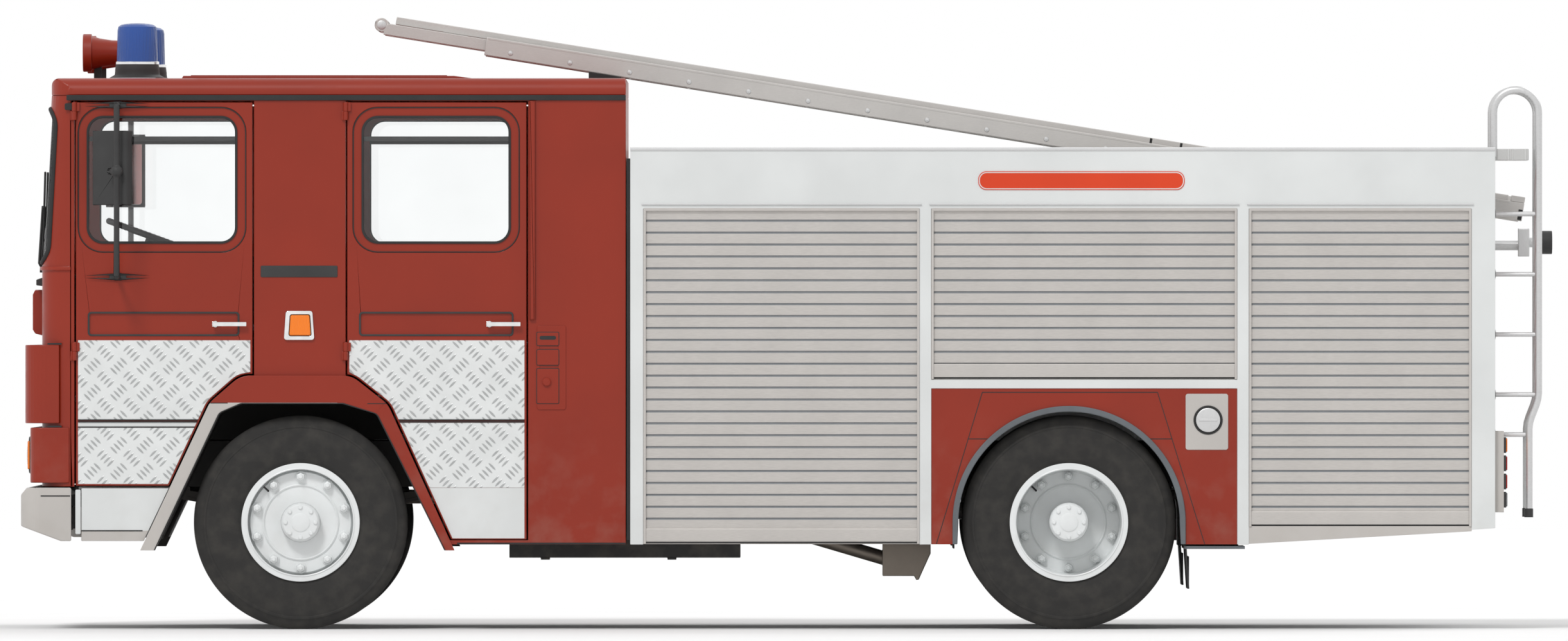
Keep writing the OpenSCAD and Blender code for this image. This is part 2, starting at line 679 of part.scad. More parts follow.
mirror_x = 902;
mirror_y = half_cab + 245;
mirror_z = [1742, roof_low - 49];
mirror_turn = 40;         // the mirror's face looks back and inwards by this angle
module mirror_set() color(dark) {
    rod_z([mirror_x, mirror_y, mirror_z[0]], mirror_z[1] - mirror_z[0], 14);
    for (z = mirror_z) {
        rod_y([mirror_x, half_cab + 8, z], mirror_y - half_cab - 8, 12);
        block([mirror_x - 42, mirror_x + 42], [half_cab, half_cab + 10], [z - 12, z + 12]);
    }
    translate([mirror_x, mirror_y, 2262]) sphere(r = 30);
    translate([mirror_x + 24, mirror_y - 113, 0]) rotate([0, 0, -mirror_turn]) {
        slab_z([2096, 2463]) box2([-112, 112], [-35, 35], 24);
        rod_y([-57, 30, 2262], 58, 16);
    }
}

// ---------------------------------------------------------------- steering and wheels

spindle_r = 35;
yoke_gap = 1;
arm_z = [-106, -80];      // the steering arm, from the axle's height
rod_eye_r = 24;
rod_pin_r = 12;
upright = [50, 78];       // the knuckle's upright, from the kingpin
front_cap = 110;          // the front hub's end, from the middle of the tyre
module knuckle() color(dark) translate([0, kingpin_y, axle_z]) {
    rod_z([0, 0, -105], 210, kingpin_r);
    for (z = [[70 + yoke_gap, 106], [-106, -70 - yoke_gap]]) {
        rod_z([0, 0, z[0]], z[1] - z[0], 42);
        block([-42, 42], [0, upright[1]], z);
    }
    block([-60, 60], upright, [-106, 106]);
    rod_y([0, upright[1] - 8, 0], kingpin_offset + front_cap - 10 - upright[1] + 8, spindle_r);
    difference() {
        union() {
            block([-steering_arm, -20], [-22, 22], arm_z);
            rod_z([-steering_arm, 0, arm_z[0]], arm_z[1] - arm_z[0], rod_eye_r + 4);
        }
        rod_z([-steering_arm, 0, arm_z[0] - 4], 40, rod_pin_r + pin_gap);
    }
}

module track_rod() color(dark) translate([-steering_arm, 0, axle_z]) {
    rod_y([0, -kingpin_y + 10, arm_z[1] + 16], 2 * kingpin_y - 20, 14);
    both_sides() {
        rod_z([0, kingpin_y, arm_z[1] + yoke_gap], 30, rod_eye_r);
        rod_z([0, kingpin_y, arm_z[0] - 6], 40, rod_pin_r);
    }
}

// Wheel profiles: X is the radius and Y the distance from the middle of the tyre, outwards
rim_half = tyre_w / 2 - 22;
rim_t = 18;
disc_t = 14;
hub_r = 96;
module rim_profile(at) translate([0, at]) polygon([
    [rim_r - rim_t - 8, -rim_half - 12], [rim_r, -rim_half - 12], [rim_r, -rim_half], [rim_r - rim_t, -rim_half],
    [rim_r - rim_t, rim_half], [rim_r, rim_half], [rim_r, rim_half + 12], [rim_r - rim_t - 8, rim_half + 12]]);

// The disc from the rim, where it starts at edge, to the hub, where its outer face is at face
module disc_profile(edge, face) polygon([
    [rim_r - rim_t - 1, edge - disc_t], [rim_r - rim_t - 1, edge + disc_t], [rim_r - 36, edge], [rim_r - 44, face],
    [hub_r - 1, face], [hub_r - 1, face - disc_t], [rim_r - 50, face - disc_t]]);

module hub_profile(bore, inner, cap) {
    translate([bore, inner]) square([hub_r - bore, cap - inner]);
    polygon([[0, cap - 1], [hub_r, cap - 1], [hub_r - 1, cap + 40], [hub_r - 11, cap + 52], [0, cap + 56]]);
}

module turned(at) translate(at) rotate([-90, 0, 0]) rotate_extrude($fn = 72) children();

module front_wheel() color(pale) turned([0, front_half_track, axle_z]) {
    rim_profile(0);
    disc_profile(52, 86);
    hub_profile(spindle_r + pin_gap, 4, front_cap);
    translate([hub_r - 1, 4]) square([94, 70]);
}

rear_spindle_r = 50;
rear_cap = 30;
module rear_wheels() color(pale) turned([rear_axle_x, rear_half_track, axle_z]) {
    bore = rear_spindle_r + pin_gap;
    middle = -twin_pitch / 2;
    rim_profile(0);
    disc_profile(-104, middle + disc_t);
    translate([0, -twin_pitch]) mirror([0, 1, 0]) {
        rim_profile(0);
        disc_profile(-104, middle + disc_t);
    }
    hub_profile(bore, -twin_pitch - 60, rear_cap);
    translate([hub_r - 1, -twin_pitch - 60]) square([104, twin_pitch / 2 + 60 - disc_t + 2]);
}

module tyre(at) color(dark) turned(at) {
    h = tyre_w / 2;
    r0 = rim_r - rim_t + seat_gap;
    bead = rim_half - seat_gap;
    polygon([[r0, -bead], [rim_r + seat_gap, -bead], [rim_r + 14, -bead - 6], [rim_r + 80, -h], [tyre_r - 70, -h], [tyre_r - 22, -h + 12],
             [tyre_r, -h + 34], [tyre_r, h - 34], [tyre_r - 22, h - 12], [tyre_r - 70, h],
             [rim_r + 80, h], [rim_r + 14, bead + 6], [rim_r + seat_gap, bead], [r0, bead]]);
}
module front_tyre() tyre([0, front_half_track, axle_z]);
module rear_tyres() for (y = [rear_half_track, rear_half_track - twin_pitch]) tyre([rear_axle_x, y, axle_z]);

// ---------------------------------------------------------------- locker body

function tail_z(x) = cab_low + (x > bay3[1] ? 0 : tail_rise * (bay3[1] - x) / (bay3[1] - body_rear_x));

module body_floor() color(grey) {
    t = 15;
    x = [body_rear_x + frame_t, body_front_x - 20];
    ahead = [bay1[0] + joint, x[1]];          // lockers ahead of the rear wheels
    behind = [x[0], bay3[1] - joint];         // lockers behind them
    over = [bay3[1], bay1[0]];                // shelf over them
    wheel_y = rail_out + 100 - t;             // inner wall of the rear wheel housings
    wall_y = [locker_y - t, locker_y];
    floor_y = [locker_y + joint, body_inner];
    top = rail_top + 25;
    tail = tail_z(x[0]) + 12;
    for (plate = [[ahead, wall_y[0]], [behind, wall_y[0]], [over, wheel_y]])
        block(plate[0], [joint - plate[1], plate[1] - joint], [rail_top, top]);
    both_sides() {
        block(ahead, floor_y, [locker_low, locker_low + t]);
        block(ahead, wall_y, [locker_low, top]);
        slab_y(floor_y) polygon([[behind[0], tail], [behind[1], locker_low], [behind[1], locker_low + t], [behind[0], tail + t]]);
        slab_y(wall_y) polygon([[behind[0], tail], [behind[1], locker_low], [behind[1], top], [behind[0], top]]);
        for (end = [[over[0], over[0] + t], [over[1] - t, over[1]]]) {
            block(end, [wall_y[0], body_inner], [locker_low, shelf_z - joint]);
            block(end, [wheel_y, wall_y[0] - joint], [rail_top, shelf_z - joint]);
        }
        block(over, [wheel_y, body_inner], [shelf_z, shelf_z + t]);
        block([over[0] + t + joint, over[1] - t - joint], [wheel_y, wheel_y + t], [rail_top, shelf_z - joint]);
    }
}

module body_sides() color(pale) both_sides() slab_y([body_inner, half_body]) difference() {
    polygon([[body_rear_x, tail_z(body_rear_x)], [bay3[1], cab_low], [body_front_x, cab_low],
             [body_front_x, body_height], [body_rear_x, body_height]]);
    box2(bay1, [0, shutter_top]);
    box2(bay2, [bay2_low, shutter_top]);
    box2(bay2, [0, shelf_z]);
    box2(bay3, [0, shutter_top]);
}

deck_z = body_height - 40;
module body_roof() color(pale) {
    t = 12;
    x = [body_rear_x, body_front_x];
    block(x, [-well_half - t, well_half + t], [well_floor - t, well_floor]);
    both_sides() {
        block(x, [well_half, well_half + t], [well_floor + joint, deck_z - t - joint]);
        block(x, [well_half, body_inner], [deck_z - t, deck_z]);
    }
}

rear_door_y = 580;
rear_door_z = [rail_top + 25, 1880];
module body_ends() color(pale) {
    low = rail_top + 25;
    top = deck_z - 12;
    out = well_half + 12;
    slab_x([body_front_x - 20, body_front_x]) polygon([
        [-body_inner, locker_low], [-locker_y, locker_low], [-locker_y, low], [locker_y, low], [locker_y, locker_low],
        [body_inner, locker_low], [body_inner, top], [out, top], [out, well_floor - 12], [-out, well_floor - 12],
        [-out, top], [-body_inner, top]]);
    slab_x([body_rear_x, body_rear_x + frame_t]) difference() {
        polygon([[-body_inner, tail_z(body_rear_x)], [body_inner, tail_z(body_rear_x)], [body_inner, top], [out, top],
                 [out, well_floor - 12], [-out, well_floor - 12], [-out, top], [-body_inner, top]]);
        box2([-rear_door_y, rear_door_y], rear_door_z);
    }
}

curtain = 18;
// A closed roller shutter: slats from the top edge down, then its bottom bar
module shutter(x, low, slats) {
    y = half_body - 10;
    bar_top = shutter_top - slats * slat;
    front = [for (i = [0 : slats - 1]) each
        let (z = shutter_top - i * slat) [[y, z - 5], [y, z - slat + 6], [y - 5, z - slat + 3], [y - 5, z - slat]]];
    slab_x(x) polygon(concat([[y - curtain, shutter_top], [y - 5, shutter_top]], front, [[y, bar_top - 1], [y, low], [y - curtain, low]]));
}

module roller_shutters() color(grey) {
    both_sides() {
        shutter(bay1 + [seat_gap, -seat_gap], cab_low + 2, 27);
        shutter(bay2 + [seat_gap, -seat_gap], bay2_low, 14);
        shutter(bay3 + [seat_gap, -seat_gap], tail_z(bay3[0]) + 6, 26);
    }
    rear_slats = floor((rear_door_z[1] - rear_door_z[0]) / slat);
    x = body_rear_x + 10;
    slab_y([-rear_door_y + seat_gap, rear_door_y - seat_gap]) polygon(concat(
        [[x + curtain, rear_door_z[0]], [x + curtain, rear_door_z[1]], [x + 5, rear_door_z[1]]],
        [for (i = [0 : rear_slats - 1]) each
            let (z = rear_door_z[1] - i * slat) [[x, z - 5], [x, z - slat + 6], [x + 5, z - slat + 3], [x + 5, z - slat]]],
        [[x, rear_door_z[1] - rear_slats * slat - 1], [x, rear_door_z[0]]]));
}

module rear_wheel_panels() color(red) both_sides() slab_y([body_inner, half_body - 4]) difference() {
    box2(bay2 + [seat_gap, -seat_gap], [cab_low + 1, shelf_z]);
    translate([rear_axle_x, axle_z]) circle(r = rear_arch_r, $fn = 96);
    box2([rear_axle_x - rear_arch_r, rear_axle_x + rear_arch_r], [0, axle_z]);
}

lip = 22;
module rear_mudguards() color(dark) both_sides() {
    translate([rear_axle_x, rail_out + 101, axle_z]) rotate([-90, 180, 0])
        rotate_extrude(angle = 180, $fn = 96) translate([rear_arch_r - 8, 0]) square([8 - seat_gap, body_inner - rail_out - 101]);
    translate([rear_axle_x, body_inner, axle_z]) rotate([-90, 180, 0])
        rotate_extrude(angle = 180, $fn = 96) translate([rear_arch_r - lip, 0]) square([lip - seat_gap, frame_t]);
    for (s = [-1, 1]) {
        x = rear_axle_x + s * (rear_arch_r - 4 - seat_gap / 2);
        block([x - 4 + seat_gap / 2, x + 4 - seat_gap / 2], [rail_out + 101, body_inner], [cab_low - 20, axle_z]);
    }
    block([bay3[1] + 20, rear_axle_x - rear_arch_r + 4], [rail_out + 240, half_body - 10], [cab_low - 22, cab_low - 8]);
}

// ---------------------------------------------------------------- rear fittings and ladder rests

climb_y = [620, 980];
rung_levels = [2054, 1755, 1457, 1159, 961];
low_bend = 47;            // the rear rails stand this much nearer the body below the last bend

// The outline of a bar of width w that follows a path: mitred at each point, square at its ends
function normal(a, b) = let (u = unit(b - a)) [-u[1], u[0]];
function mitre(a, b, c, w) = let (m = normal(a, b) + normal(b, c)) b + m * w / (m * normal(a, b));
function bar_edge(p, w) = let (n = len(p)) [
    for (i = [0 : n - 1]) i == 0 ? p[0] + normal(p[0], p[1]) * w :
        i == n - 1 ? p[i] + normal(p[i - 1], p[i]) * w : mitre(p[i - 1], p[i], p[i + 1], w)];
function bar_outline(p, w) = let (far = bar_edge(p, -w)) concat(bar_edge(p, w), [for (i = [len(p) - 1 : -1 : 0]) far[i]]);

hoop_r = 111;             // bend of the hoop over the parapet, at the tube's middle
module access_ladder() color(grey) {
    x = rear_rail_x;
    top = [body_rear_x - 14, body_height + 181];
    path = concat([[top[0] + hoop_r, deck_z]],
                  [for (a = [0 : 20 : 160]) top + hoop_r * [cos(a), sin(a)]],
                  [[x, body_height + 36], [x, 1150], [x + low_bend, 1005], [x + low_bend, 553]]);
    for (y = climb_y) {
        slab_y([y - tube_r, y + tube_r]) polygon(bar_outline(path, tube_r));
        for (z = rung_levels) rod_x([rung_x(z), y, z], body_rear_x - rung_x(z), 11);
    }
    for (z = rung_levels) rod_y([rung_x(z), climb_y[0], z], climb_y[1] - climb_y[0], 11);
    block([body_rear_x - 172, body_rear_x], climb_y, [body_height - 58, body_height]);
}
function rung_x(z) = rear_rail_x + (z < 1010 ? low_bend : 0);

module rear_lamps() both_sides() {
    color(grey) block([body_rear_x - 44, body_rear_x], [1020, 1160], [578, 980]);
    color("firebrick") for (z = [600, 690, 780, 870])
        block([body_rear_x - 62, body_rear_x - 44], [1030, 1150], [z, z + 80]);
}

rest_x = [-1440, -1560];
gantry_x = [rear_axle_x - 250, body_rear_x + 250];
gantry_r = 30;
function under(x) = heel_z + (x - heel_x) * tan(ladder_rise);

module ladder_rests() {
    gap = guide_gap / cos(ladder_rise);
    color(dark) both_sides() slab_y([ladder_half - beam_t - 10, ladder_half + 10])
        polygon([[cab_rear_x + 30, cab_height], [cab_rear_x + 190, cab_height],
                 [cab_rear_x + 190, under(cab_rear_x + 190) - gap], [cab_rear_x + 30, under(cab_rear_x + 30) - gap]]);
    for (x = gantry_x) {
        z = under(x) - (gantry_r + guide_gap) / cos(ladder_rise);
        color(grey) rod_y([x, -well_half + 20, z], 2 * well_half - 40, gantry_r);
        color(grey) both_sides() block([x - 40, x + 40], [well_half - 40, well_half], [well_floor, z + 40]);
    }
    color(grey) {
        rod_x([body_rear_x - 147, 0, 1900], 147, 24);
        block([body_rear_x - 201, body_rear_x - 147], [-60, 60], [1845, 1985]);
        rod_x([body_rear_x - 270, 0, 1915], 70, 24);
        rod_x([knob_x, 0, 1915], 52, 58);
    }
}

// ---------------------------------------------------------------- ladder

// Draws in the ladder's own frame: X along it from the heel, Z square to it
module on_ladder() translate([heel_x, 0, heel_z]) rotate([0, -ladder_rise, 0]) children();

module ladder_section(x, half, z, rungs_z) {
    rung_y = half - beam_t - joint;
    both_sides() block(x, [half - beam_t, half], z);
    for (i = [1 : floor((x[1] - x[0] - 100) / rung_pitch)])
        rod_y([x[0] + i * rung_pitch, -rung_y, rungs_z], 2 * rung_y, rung_r);
}

mid_half = ladder_half - beam_t - 5;
top_half = mid_half - beam_t - 5;
mid_x = [130, main_len + mid_reach];
top_x = [82, main_len + top_reach];
top_low = mid_low + mid_deep + guide_gap;
module ladder_main() color(grey) on_ladder() {
    ladder_section([0, main_len], ladder_half, [0, main_deep], rung_r);
    both_sides() {
        block([0, 70], [ladder_half - beam_t, ladder_half], [main_deep + joint, 121]);
        for (x = [main_len - 160, main_len - 2400, 900])
            block([x, x + 120], [mid_half - beam_t, ladder_half - beam_t - joint], [2, mid_low - guide_gap]);
    }
}

module ladder_middle() color(grey) on_ladder() {
    ladder_section(mid_x, mid_half, [mid_low, mid_low + mid_deep], mid_low + 24);
    both_sides() {
        rod_y([mid_x[1] + 16, mid_half - beam_t, mid_low + 46], beam_t, 35);
        for (x = [main_len + 100, main_len - 2200, 600])
            block([x, x + 120], [top_half - beam_t, mid_half - beam_t - joint], [mid_low + 40, mid_low + mid_deep]);
    }
}

module ladder_top() color(grey) on_ladder()
    ladder_section(top_x, top_half, [top_low, top_low + top_deep], top_low + 22);

// ---------------------------------------------------------------- nodes

place() chassis_frame();
place() engine_and_gearbox();
place() front_axle();
place() rear_axle();
place() leaf_springs();
place() propshaft();
place() exhaust();
place() fuel_tank();
place() battery_box();
place() cab_floor();
place() cab_front();
place() cab_sides();
place() cab_roof();
place() cab_rear_wall();
place() windscreen();
place() wheel_arches();
place() front_panels();
place() headlamps();
place() front_bumper();
place() dashboard();
place() seats();
place() beacons();
place() horns();
place() body_floor();
place() body_sides();
place() body_roof();
place() body_ends();
place() roller_shutters();
place() rear_wheel_panels();
place() rear_mudguards();
place() access_ladder();
place() rear_lamps();
place() ladder_rests();
place() door(door_table[0]);  // front_left_door
place() door_glass(door_table[0]);  // front_left_glass
place() door(door_table[1]);  // rear_left_door
place() door_glass(door_table[1]);  // rear_left_glass
place() mirror_set();  // left_mirror
place() right_side() door(door_table[0]);  // front_right_door
place() right_side() door_glass(door_table[0]);  // front_right_glass
place() right_side() door(door_table[1]);  // rear_right_door
place() right_side() door_glass(door_table[1]);  // rear_right_glass
place() right_side() mirror_set();  // right_mirror
place() knuckle();  // left_knuckle
place() right_side() knuckle();  // right_knuckle
place() track_rod();
place() steering_wheel();
place() ladder_main();
place() ladder_middle();
place() ladder_top();
place() front_wheel();  // front_left_wheel
place() front_tyre();  // front_left_tyre
place() right_side() front_wheel();  // front_right_wheel
place() right_side() front_tyre();  // front_right_tyre
place() rear_wheels();  // rear_left_wheels
place() rear_tyres();  // rear_left_tyres
place() right_side() rear_wheels();  // rear_right_wheels
place() right_side() rear_tyres();  // rear_right_tyres
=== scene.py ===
"""Looks for a crew-cab fire engine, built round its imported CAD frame, in metres."""

import json
import logging
import math
from collections.abc import Callable, Iterable, Sequence
from dataclasses import dataclass, field
from enum import Enum

import bmesh
import bpy
from mathutils import Matrix, Vector


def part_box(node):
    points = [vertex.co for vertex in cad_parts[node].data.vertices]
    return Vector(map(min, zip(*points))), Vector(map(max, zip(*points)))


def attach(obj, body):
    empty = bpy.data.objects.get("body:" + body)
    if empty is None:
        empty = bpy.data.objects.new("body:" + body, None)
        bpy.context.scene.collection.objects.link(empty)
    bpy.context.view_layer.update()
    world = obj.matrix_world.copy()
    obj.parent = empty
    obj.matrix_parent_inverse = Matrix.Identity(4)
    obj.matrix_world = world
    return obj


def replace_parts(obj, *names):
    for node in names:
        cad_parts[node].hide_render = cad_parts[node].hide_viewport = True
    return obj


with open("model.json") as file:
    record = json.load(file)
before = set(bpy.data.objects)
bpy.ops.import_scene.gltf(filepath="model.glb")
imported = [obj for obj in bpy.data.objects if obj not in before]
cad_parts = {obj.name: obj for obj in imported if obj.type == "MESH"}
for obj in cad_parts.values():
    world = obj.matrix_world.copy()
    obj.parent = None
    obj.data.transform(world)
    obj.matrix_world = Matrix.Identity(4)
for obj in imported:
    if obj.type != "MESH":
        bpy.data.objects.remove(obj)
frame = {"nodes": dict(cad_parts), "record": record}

LOG = logging.getLogger("fire_engine")
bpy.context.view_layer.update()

Point = tuple[float, float, float]
Outline = list[tuple[float, float]]


class Side(Enum):
    """The two sides of the vehicle; the value is the sign of Y."""

    LEFT = 1
    RIGHT = -1

    @property
    def word(self) -> str:
        """The side's name in node and body names."""
        return self.name.lower()


class Plane(Enum):
    """The plane an outline is drawn in; the value gives its two axes and the axis it is pushed along."""

    SIDE = (0, 2, 1)
    FRONT = (1, 2, 0)
    TOP = (0, 1, 2)


class Axis(Enum):
    """The axis that a turned shape goes round."""

    X = 0
    Y = 1
    Z = 2


# ---------------------------------------------------------------- shader graphs


class Graph:
    """A material's node tree, with short calls for the nodes that the finishes use."""

    def __init__(self, name: str) -> None:
        """Makes the material with one principled shader.

        Args:
            name: The material's name.
        """
        self.material = bpy.data.materials.new(name)
        self.material.use_nodes = True
        self.tree = self.material.node_tree
        self.tree.nodes.clear()
        self.shader = self.node("ShaderNodeBsdfPrincipled")
        out = self.node("ShaderNodeOutputMaterial")
        self.link(self.shader.outputs[0], out.inputs["Surface"])
        self.place = self.node("ShaderNodeTexCoord").outputs["Object"]

    def node(self, kind: str, **settings: object) -> bpy.types.Node:
        """Adds a node.

        Args:
            kind: The node's type.
            **settings: Properties to set on it.

        Returns:
            The new node.
        """
        made = self.tree.nodes.new(kind)
        for key, value in settings.items():
            setattr(made, key, value)
        return made

    def link(self, source: bpy.types.NodeSocket, target: bpy.types.NodeSocket) -> None:
        """Joins two sockets."""
        self.tree.links.new(source, target)

    def feed(self, target: bpy.types.NodeSocket, value: object) -> None:
        """Links a socket to another, or sets its own value."""
        if isinstance(value, bpy.types.NodeSocket):
            self.link(value, target)
        else:
            target.default_value = value

    def maths(self, operation: str, *values: object) -> bpy.types.NodeSocket:
        """Adds a math node.

        Args:
            operation: The operation's name.
            *values: Sockets or numbers.

        Returns:
            Its output.
        """
        made = self.node("ShaderNodeMath", operation=operation)
        for target, value in zip(made.inputs, values):
            self.feed(target, value)
        return made.outputs[0]

    def scaled(self, scale: Point, turn: Point = (0.0, 0.0, 0.0)) -> bpy.types.NodeSocket:
        """Object coordinates, turned and then scaled.

        Args:
            scale: The scale along each axis.
            turn: The turn about each axis in radians.

        Returns:
            The coordinates.
        """
        mapping = self.node("ShaderNodeMapping", vector_type="POINT")
        self.link(self.place, mapping.inputs["Vector"])
        mapping.inputs["Scale"].default_value = scale
        mapping.inputs["Rotation"].default_value = turn
        return mapping.outputs[0]

    def noise(self, scale: float, detail: float = 3.0, stretch: Point = (1.0, 1.0, 1.0)) -> bpy.types.NodeSocket:
        """A noise field from 0 to 1.

        Args:
            scale: Lumps per metre.
            detail: Octaves of finer noise.
            stretch: How much finer it is along each axis.

        Returns:
            The noise value.
        """
        made = self.node("ShaderNodeTexNoise")
        self.link(self.scaled(stretch), made.inputs["Vector"])
        made.inputs["Scale"].default_value = scale
        made.inputs["Detail"].default_value = detail
        return made.outputs[0]

    def ramp(self, value: bpy.types.NodeSocket, stops: Sequence[tuple[float, Point]]) -> bpy.types.NodeSocket:
        """Colours a value.

        Args:
            value: The value.
            stops: Places from 0 to 1 and their colours.

        Returns:
            The colour.
        """
        made = self.node("ShaderNodeValToRGB")
        self.link(value, made.inputs[0])
        while len(made.color_ramp.elements) < len(stops):
            made.color_ramp.elements.new(0.5)
        for element, (place, colour) in zip(made.color_ramp.elements, stops):
            element.position = place
            element.color = (*colour, 1.0)
        return made.outputs[0]

    def between(self, value: bpy.types.NodeSocket, low: float, high: float, start: float, end: float) -> bpy.types.NodeSocket:
        """Maps a value from one range to another, with its ends held.

        Args:
            value: The value.
            low: Where the input range starts.
            high: Where it ends.
            start: The output at low.
            end: The output at high.

        Returns:
            The mapped value.
        """
        made = self.node("ShaderNodeMapRange")
        for target, number in zip(made.inputs, (value, low, high, start, end)):
            self.feed(target, number)
        return made.outputs[0]

    def mix(self, part: bpy.types.NodeSocket, first: object, second: object) -> bpy.types.NodeSocket:
        """Mixes two colours.

        Args:
            part: How much of the second.
            first: A colour socket or a colour.
            second: A colour socket or a colour.

        Returns:
            The mixed colour.
        """
        made = self.node("ShaderNodeMix", data_type="RGBA")
        self.link(part, made.inputs[0])
        for target, colour in ((made.inputs[6], first), (made.inputs[7], second)):
            self.feed(target, colour if isinstance(colour, bpy.types.NodeSocket) else (*colour, 1.0))
        return made.outputs[2]

    def bump(self, height: bpy.types.NodeSocket, depth: float, strength: float = 1.0) -> None:
        """Bumps the shader's normal.

        Args:
            height: A height from 0 to 1.
            depth: What a height of 1 stands for, in metres.
            strength: How much of it shows.
        """
        made = self.node("ShaderNodeBump")
        made.inputs["Distance"].default_value = depth
        made.inputs["Strength"].default_value = strength
        self.link(height, made.inputs["Height"])
        self.link(made.outputs[0], self.shader.inputs["Normal"])

    def set(self, **values: object) -> None:
        """Sets the shader's sockets; underscores in a name stand for spaces."""
        for key, value in values.items():
            target = self.shader.inputs[key.replace("_", " ")]
            if key == "Base_Color" and not isinstance(value, bpy.types.NodeSocket):
                value = (*value, 1.0)
            self.feed(target, value)

    def heights(self) -> bpy.types.NodeSocket:
        """The height above the ground."""
        split = self.node("ShaderNodeSeparateXYZ")
        self.link(self.place, split.inputs[0])
        return split.outputs[2]


def shade(colour: Point, factor: float) -> Point:
    """Darkens or lightens a colour.

    Args:
        colour: The colour.
        factor: What each channel is multiplied by.

    Returns:
        The new colour.
    """
    return tuple(min(1.0, c * factor) for c in colour)


MADE: dict[str, bpy.types.Material] = {}


@dataclass(frozen=True)
class Finish:
    """A finish of one or more pieces, taken from one of the record's material slots."""

    name: str
    slot: str
    colour: Point
    roughness: float = 0.4

    def material(self) -> bpy.types.Material:
        """Returns the finish's material, made on the first call."""
        if self.name not in MADE:
            graph = Graph(self.name)
            self.dress(graph)
            MADE[self.name] = graph.material
        return MADE[self.name]

    def dress(self, graph: Graph) -> None:
        """Adds the finish's nodes to a graph."""
        raise NotImplementedError


@dataclass(frozen=True)
class Paint(Finish):
    """Sprayed paint: slight orange peel, faint shade changes, and road dust that fades out upwards."""

    dust: float = 0.35
    dust_top: float = 1.1
    gloss: float = 0.1

    def dress(self, graph: Graph) -> None:
        """Adds the paint's nodes to a graph."""
        tone = graph.ramp(graph.noise(2.3), [(0.3, shade(self.colour, 0.95)), (0.7, shade(self.colour, 1.05))])
        low = graph.between(graph.heights(), 0.3, self.dust_top, self.dust, 0.0)
        patch = graph.between(graph.noise(9.0, 5.0), 0.45, 0.7, 0.0, 1.0)
        dusty = graph.mix(graph.maths("MULTIPLY", low, patch), tone, (0.33, 0.29, 0.24))
        peel = graph.noise(420.0, 1.0)
        graph.set(Base_Color=dusty, Roughness=graph.between(patch, 0.0, 1.0, self.roughness, self.roughness + 0.12))
        graph.set(Coat_Weight=self.gloss, Coat_Roughness=0.08, Specular_IOR_Level=0.3)
        graph.bump(peel, 0.0002, 0.35)


@dataclass(frozen=True)
class Metal(Finish):
    """Bare or anodised metal with fine streaks along one axis."""

    metallic: float = 1.0
    grain: Point = (1.0, 1.0, 1.0)
    grain_scale: float = 60.0

    def dress(self, graph: Graph) -> None:
        """Adds the metal's nodes to a graph."""
        streak = graph.noise(self.grain_scale, 6.0, self.grain)
        tone = graph.ramp(streak, [(0.3, shade(self.colour, 0.92)), (0.7, shade(self.colour, 1.07))])
        stain = graph.between(graph.noise(5.0, 4.0), 0.4, 0.75, 0.0, 0.22)
        graph.set(Base_Color=graph.mix(stain, tone, shade(self.colour, 0.72)), Metallic=self.metallic)
        graph.set(Roughness=graph.between(streak, 0.2, 0.8, self.roughness - 0.07, self.roughness + 0.09))
        graph.bump(streak, 0.0002, 0.3)


@dataclass(frozen=True)
class Rubber(Finish):
    """Rubber or moulded plastic: a fine grain, worn paler in patches."""

    grain: float = 700.0
    wear: float = 1.7
    dust: float = 0.0

    def dress(self, graph: Graph) -> None:
        """Adds the rubber's nodes to a graph."""
        patch = graph.noise(7.0, 5.0)
        tone = graph.ramp(patch, [(0.35, self.colour), (0.75, shade(self.colour, self.wear))])
        if self.dust:
            amount = graph.between(graph.noise(14.0, 6.0), 0.42, 0.78, 0.0, self.dust)
            tone = graph.mix(amount, tone, (0.20, 0.18, 0.15))
        graph.set(Base_Color=tone, Roughness=graph.between(patch, 0.3, 0.7, self.roughness, self.roughness + 0.12))
        graph.set(Specular_IOR_Level=0.3)
        graph.bump(graph.noise(self.grain, 2.0), 0.0004, 0.4)


@dataclass(frozen=True)
class Glass(Finish):
    """Clear or tinted glass and lens plastic, with optional upright flutes."""

    clear: float = 1.0
    flutes: float = 0.0

    def dress(self, graph: Graph) -> None:
        """Adds the glass's nodes to a graph."""
        haze = graph.noise(3.0, 4.0)
        graph.set(Base_Color=graph.ramp(haze, [(0.3, self.colour), (0.8, shade(self.colour, 0.97))]))
        graph.set(Transmission_Weight=self.clear, IOR=1.45)
        graph.set(Roughness=graph.between(haze, 0.4, 0.8, self.roughness, self.roughness + 0.03))
        if self.flutes:
            wave = graph.node("ShaderNodeTexWave", bands_direction="X")
            graph.link(graph.scaled((1.0, 1.0, 0.0), (0.0, 0.0, math.radians(45))), wave.inputs["Vector"])
            wave.inputs["Scale"].default_value = self.flutes
            graph.bump(wave.outputs[1], 0.0012, 0.6)


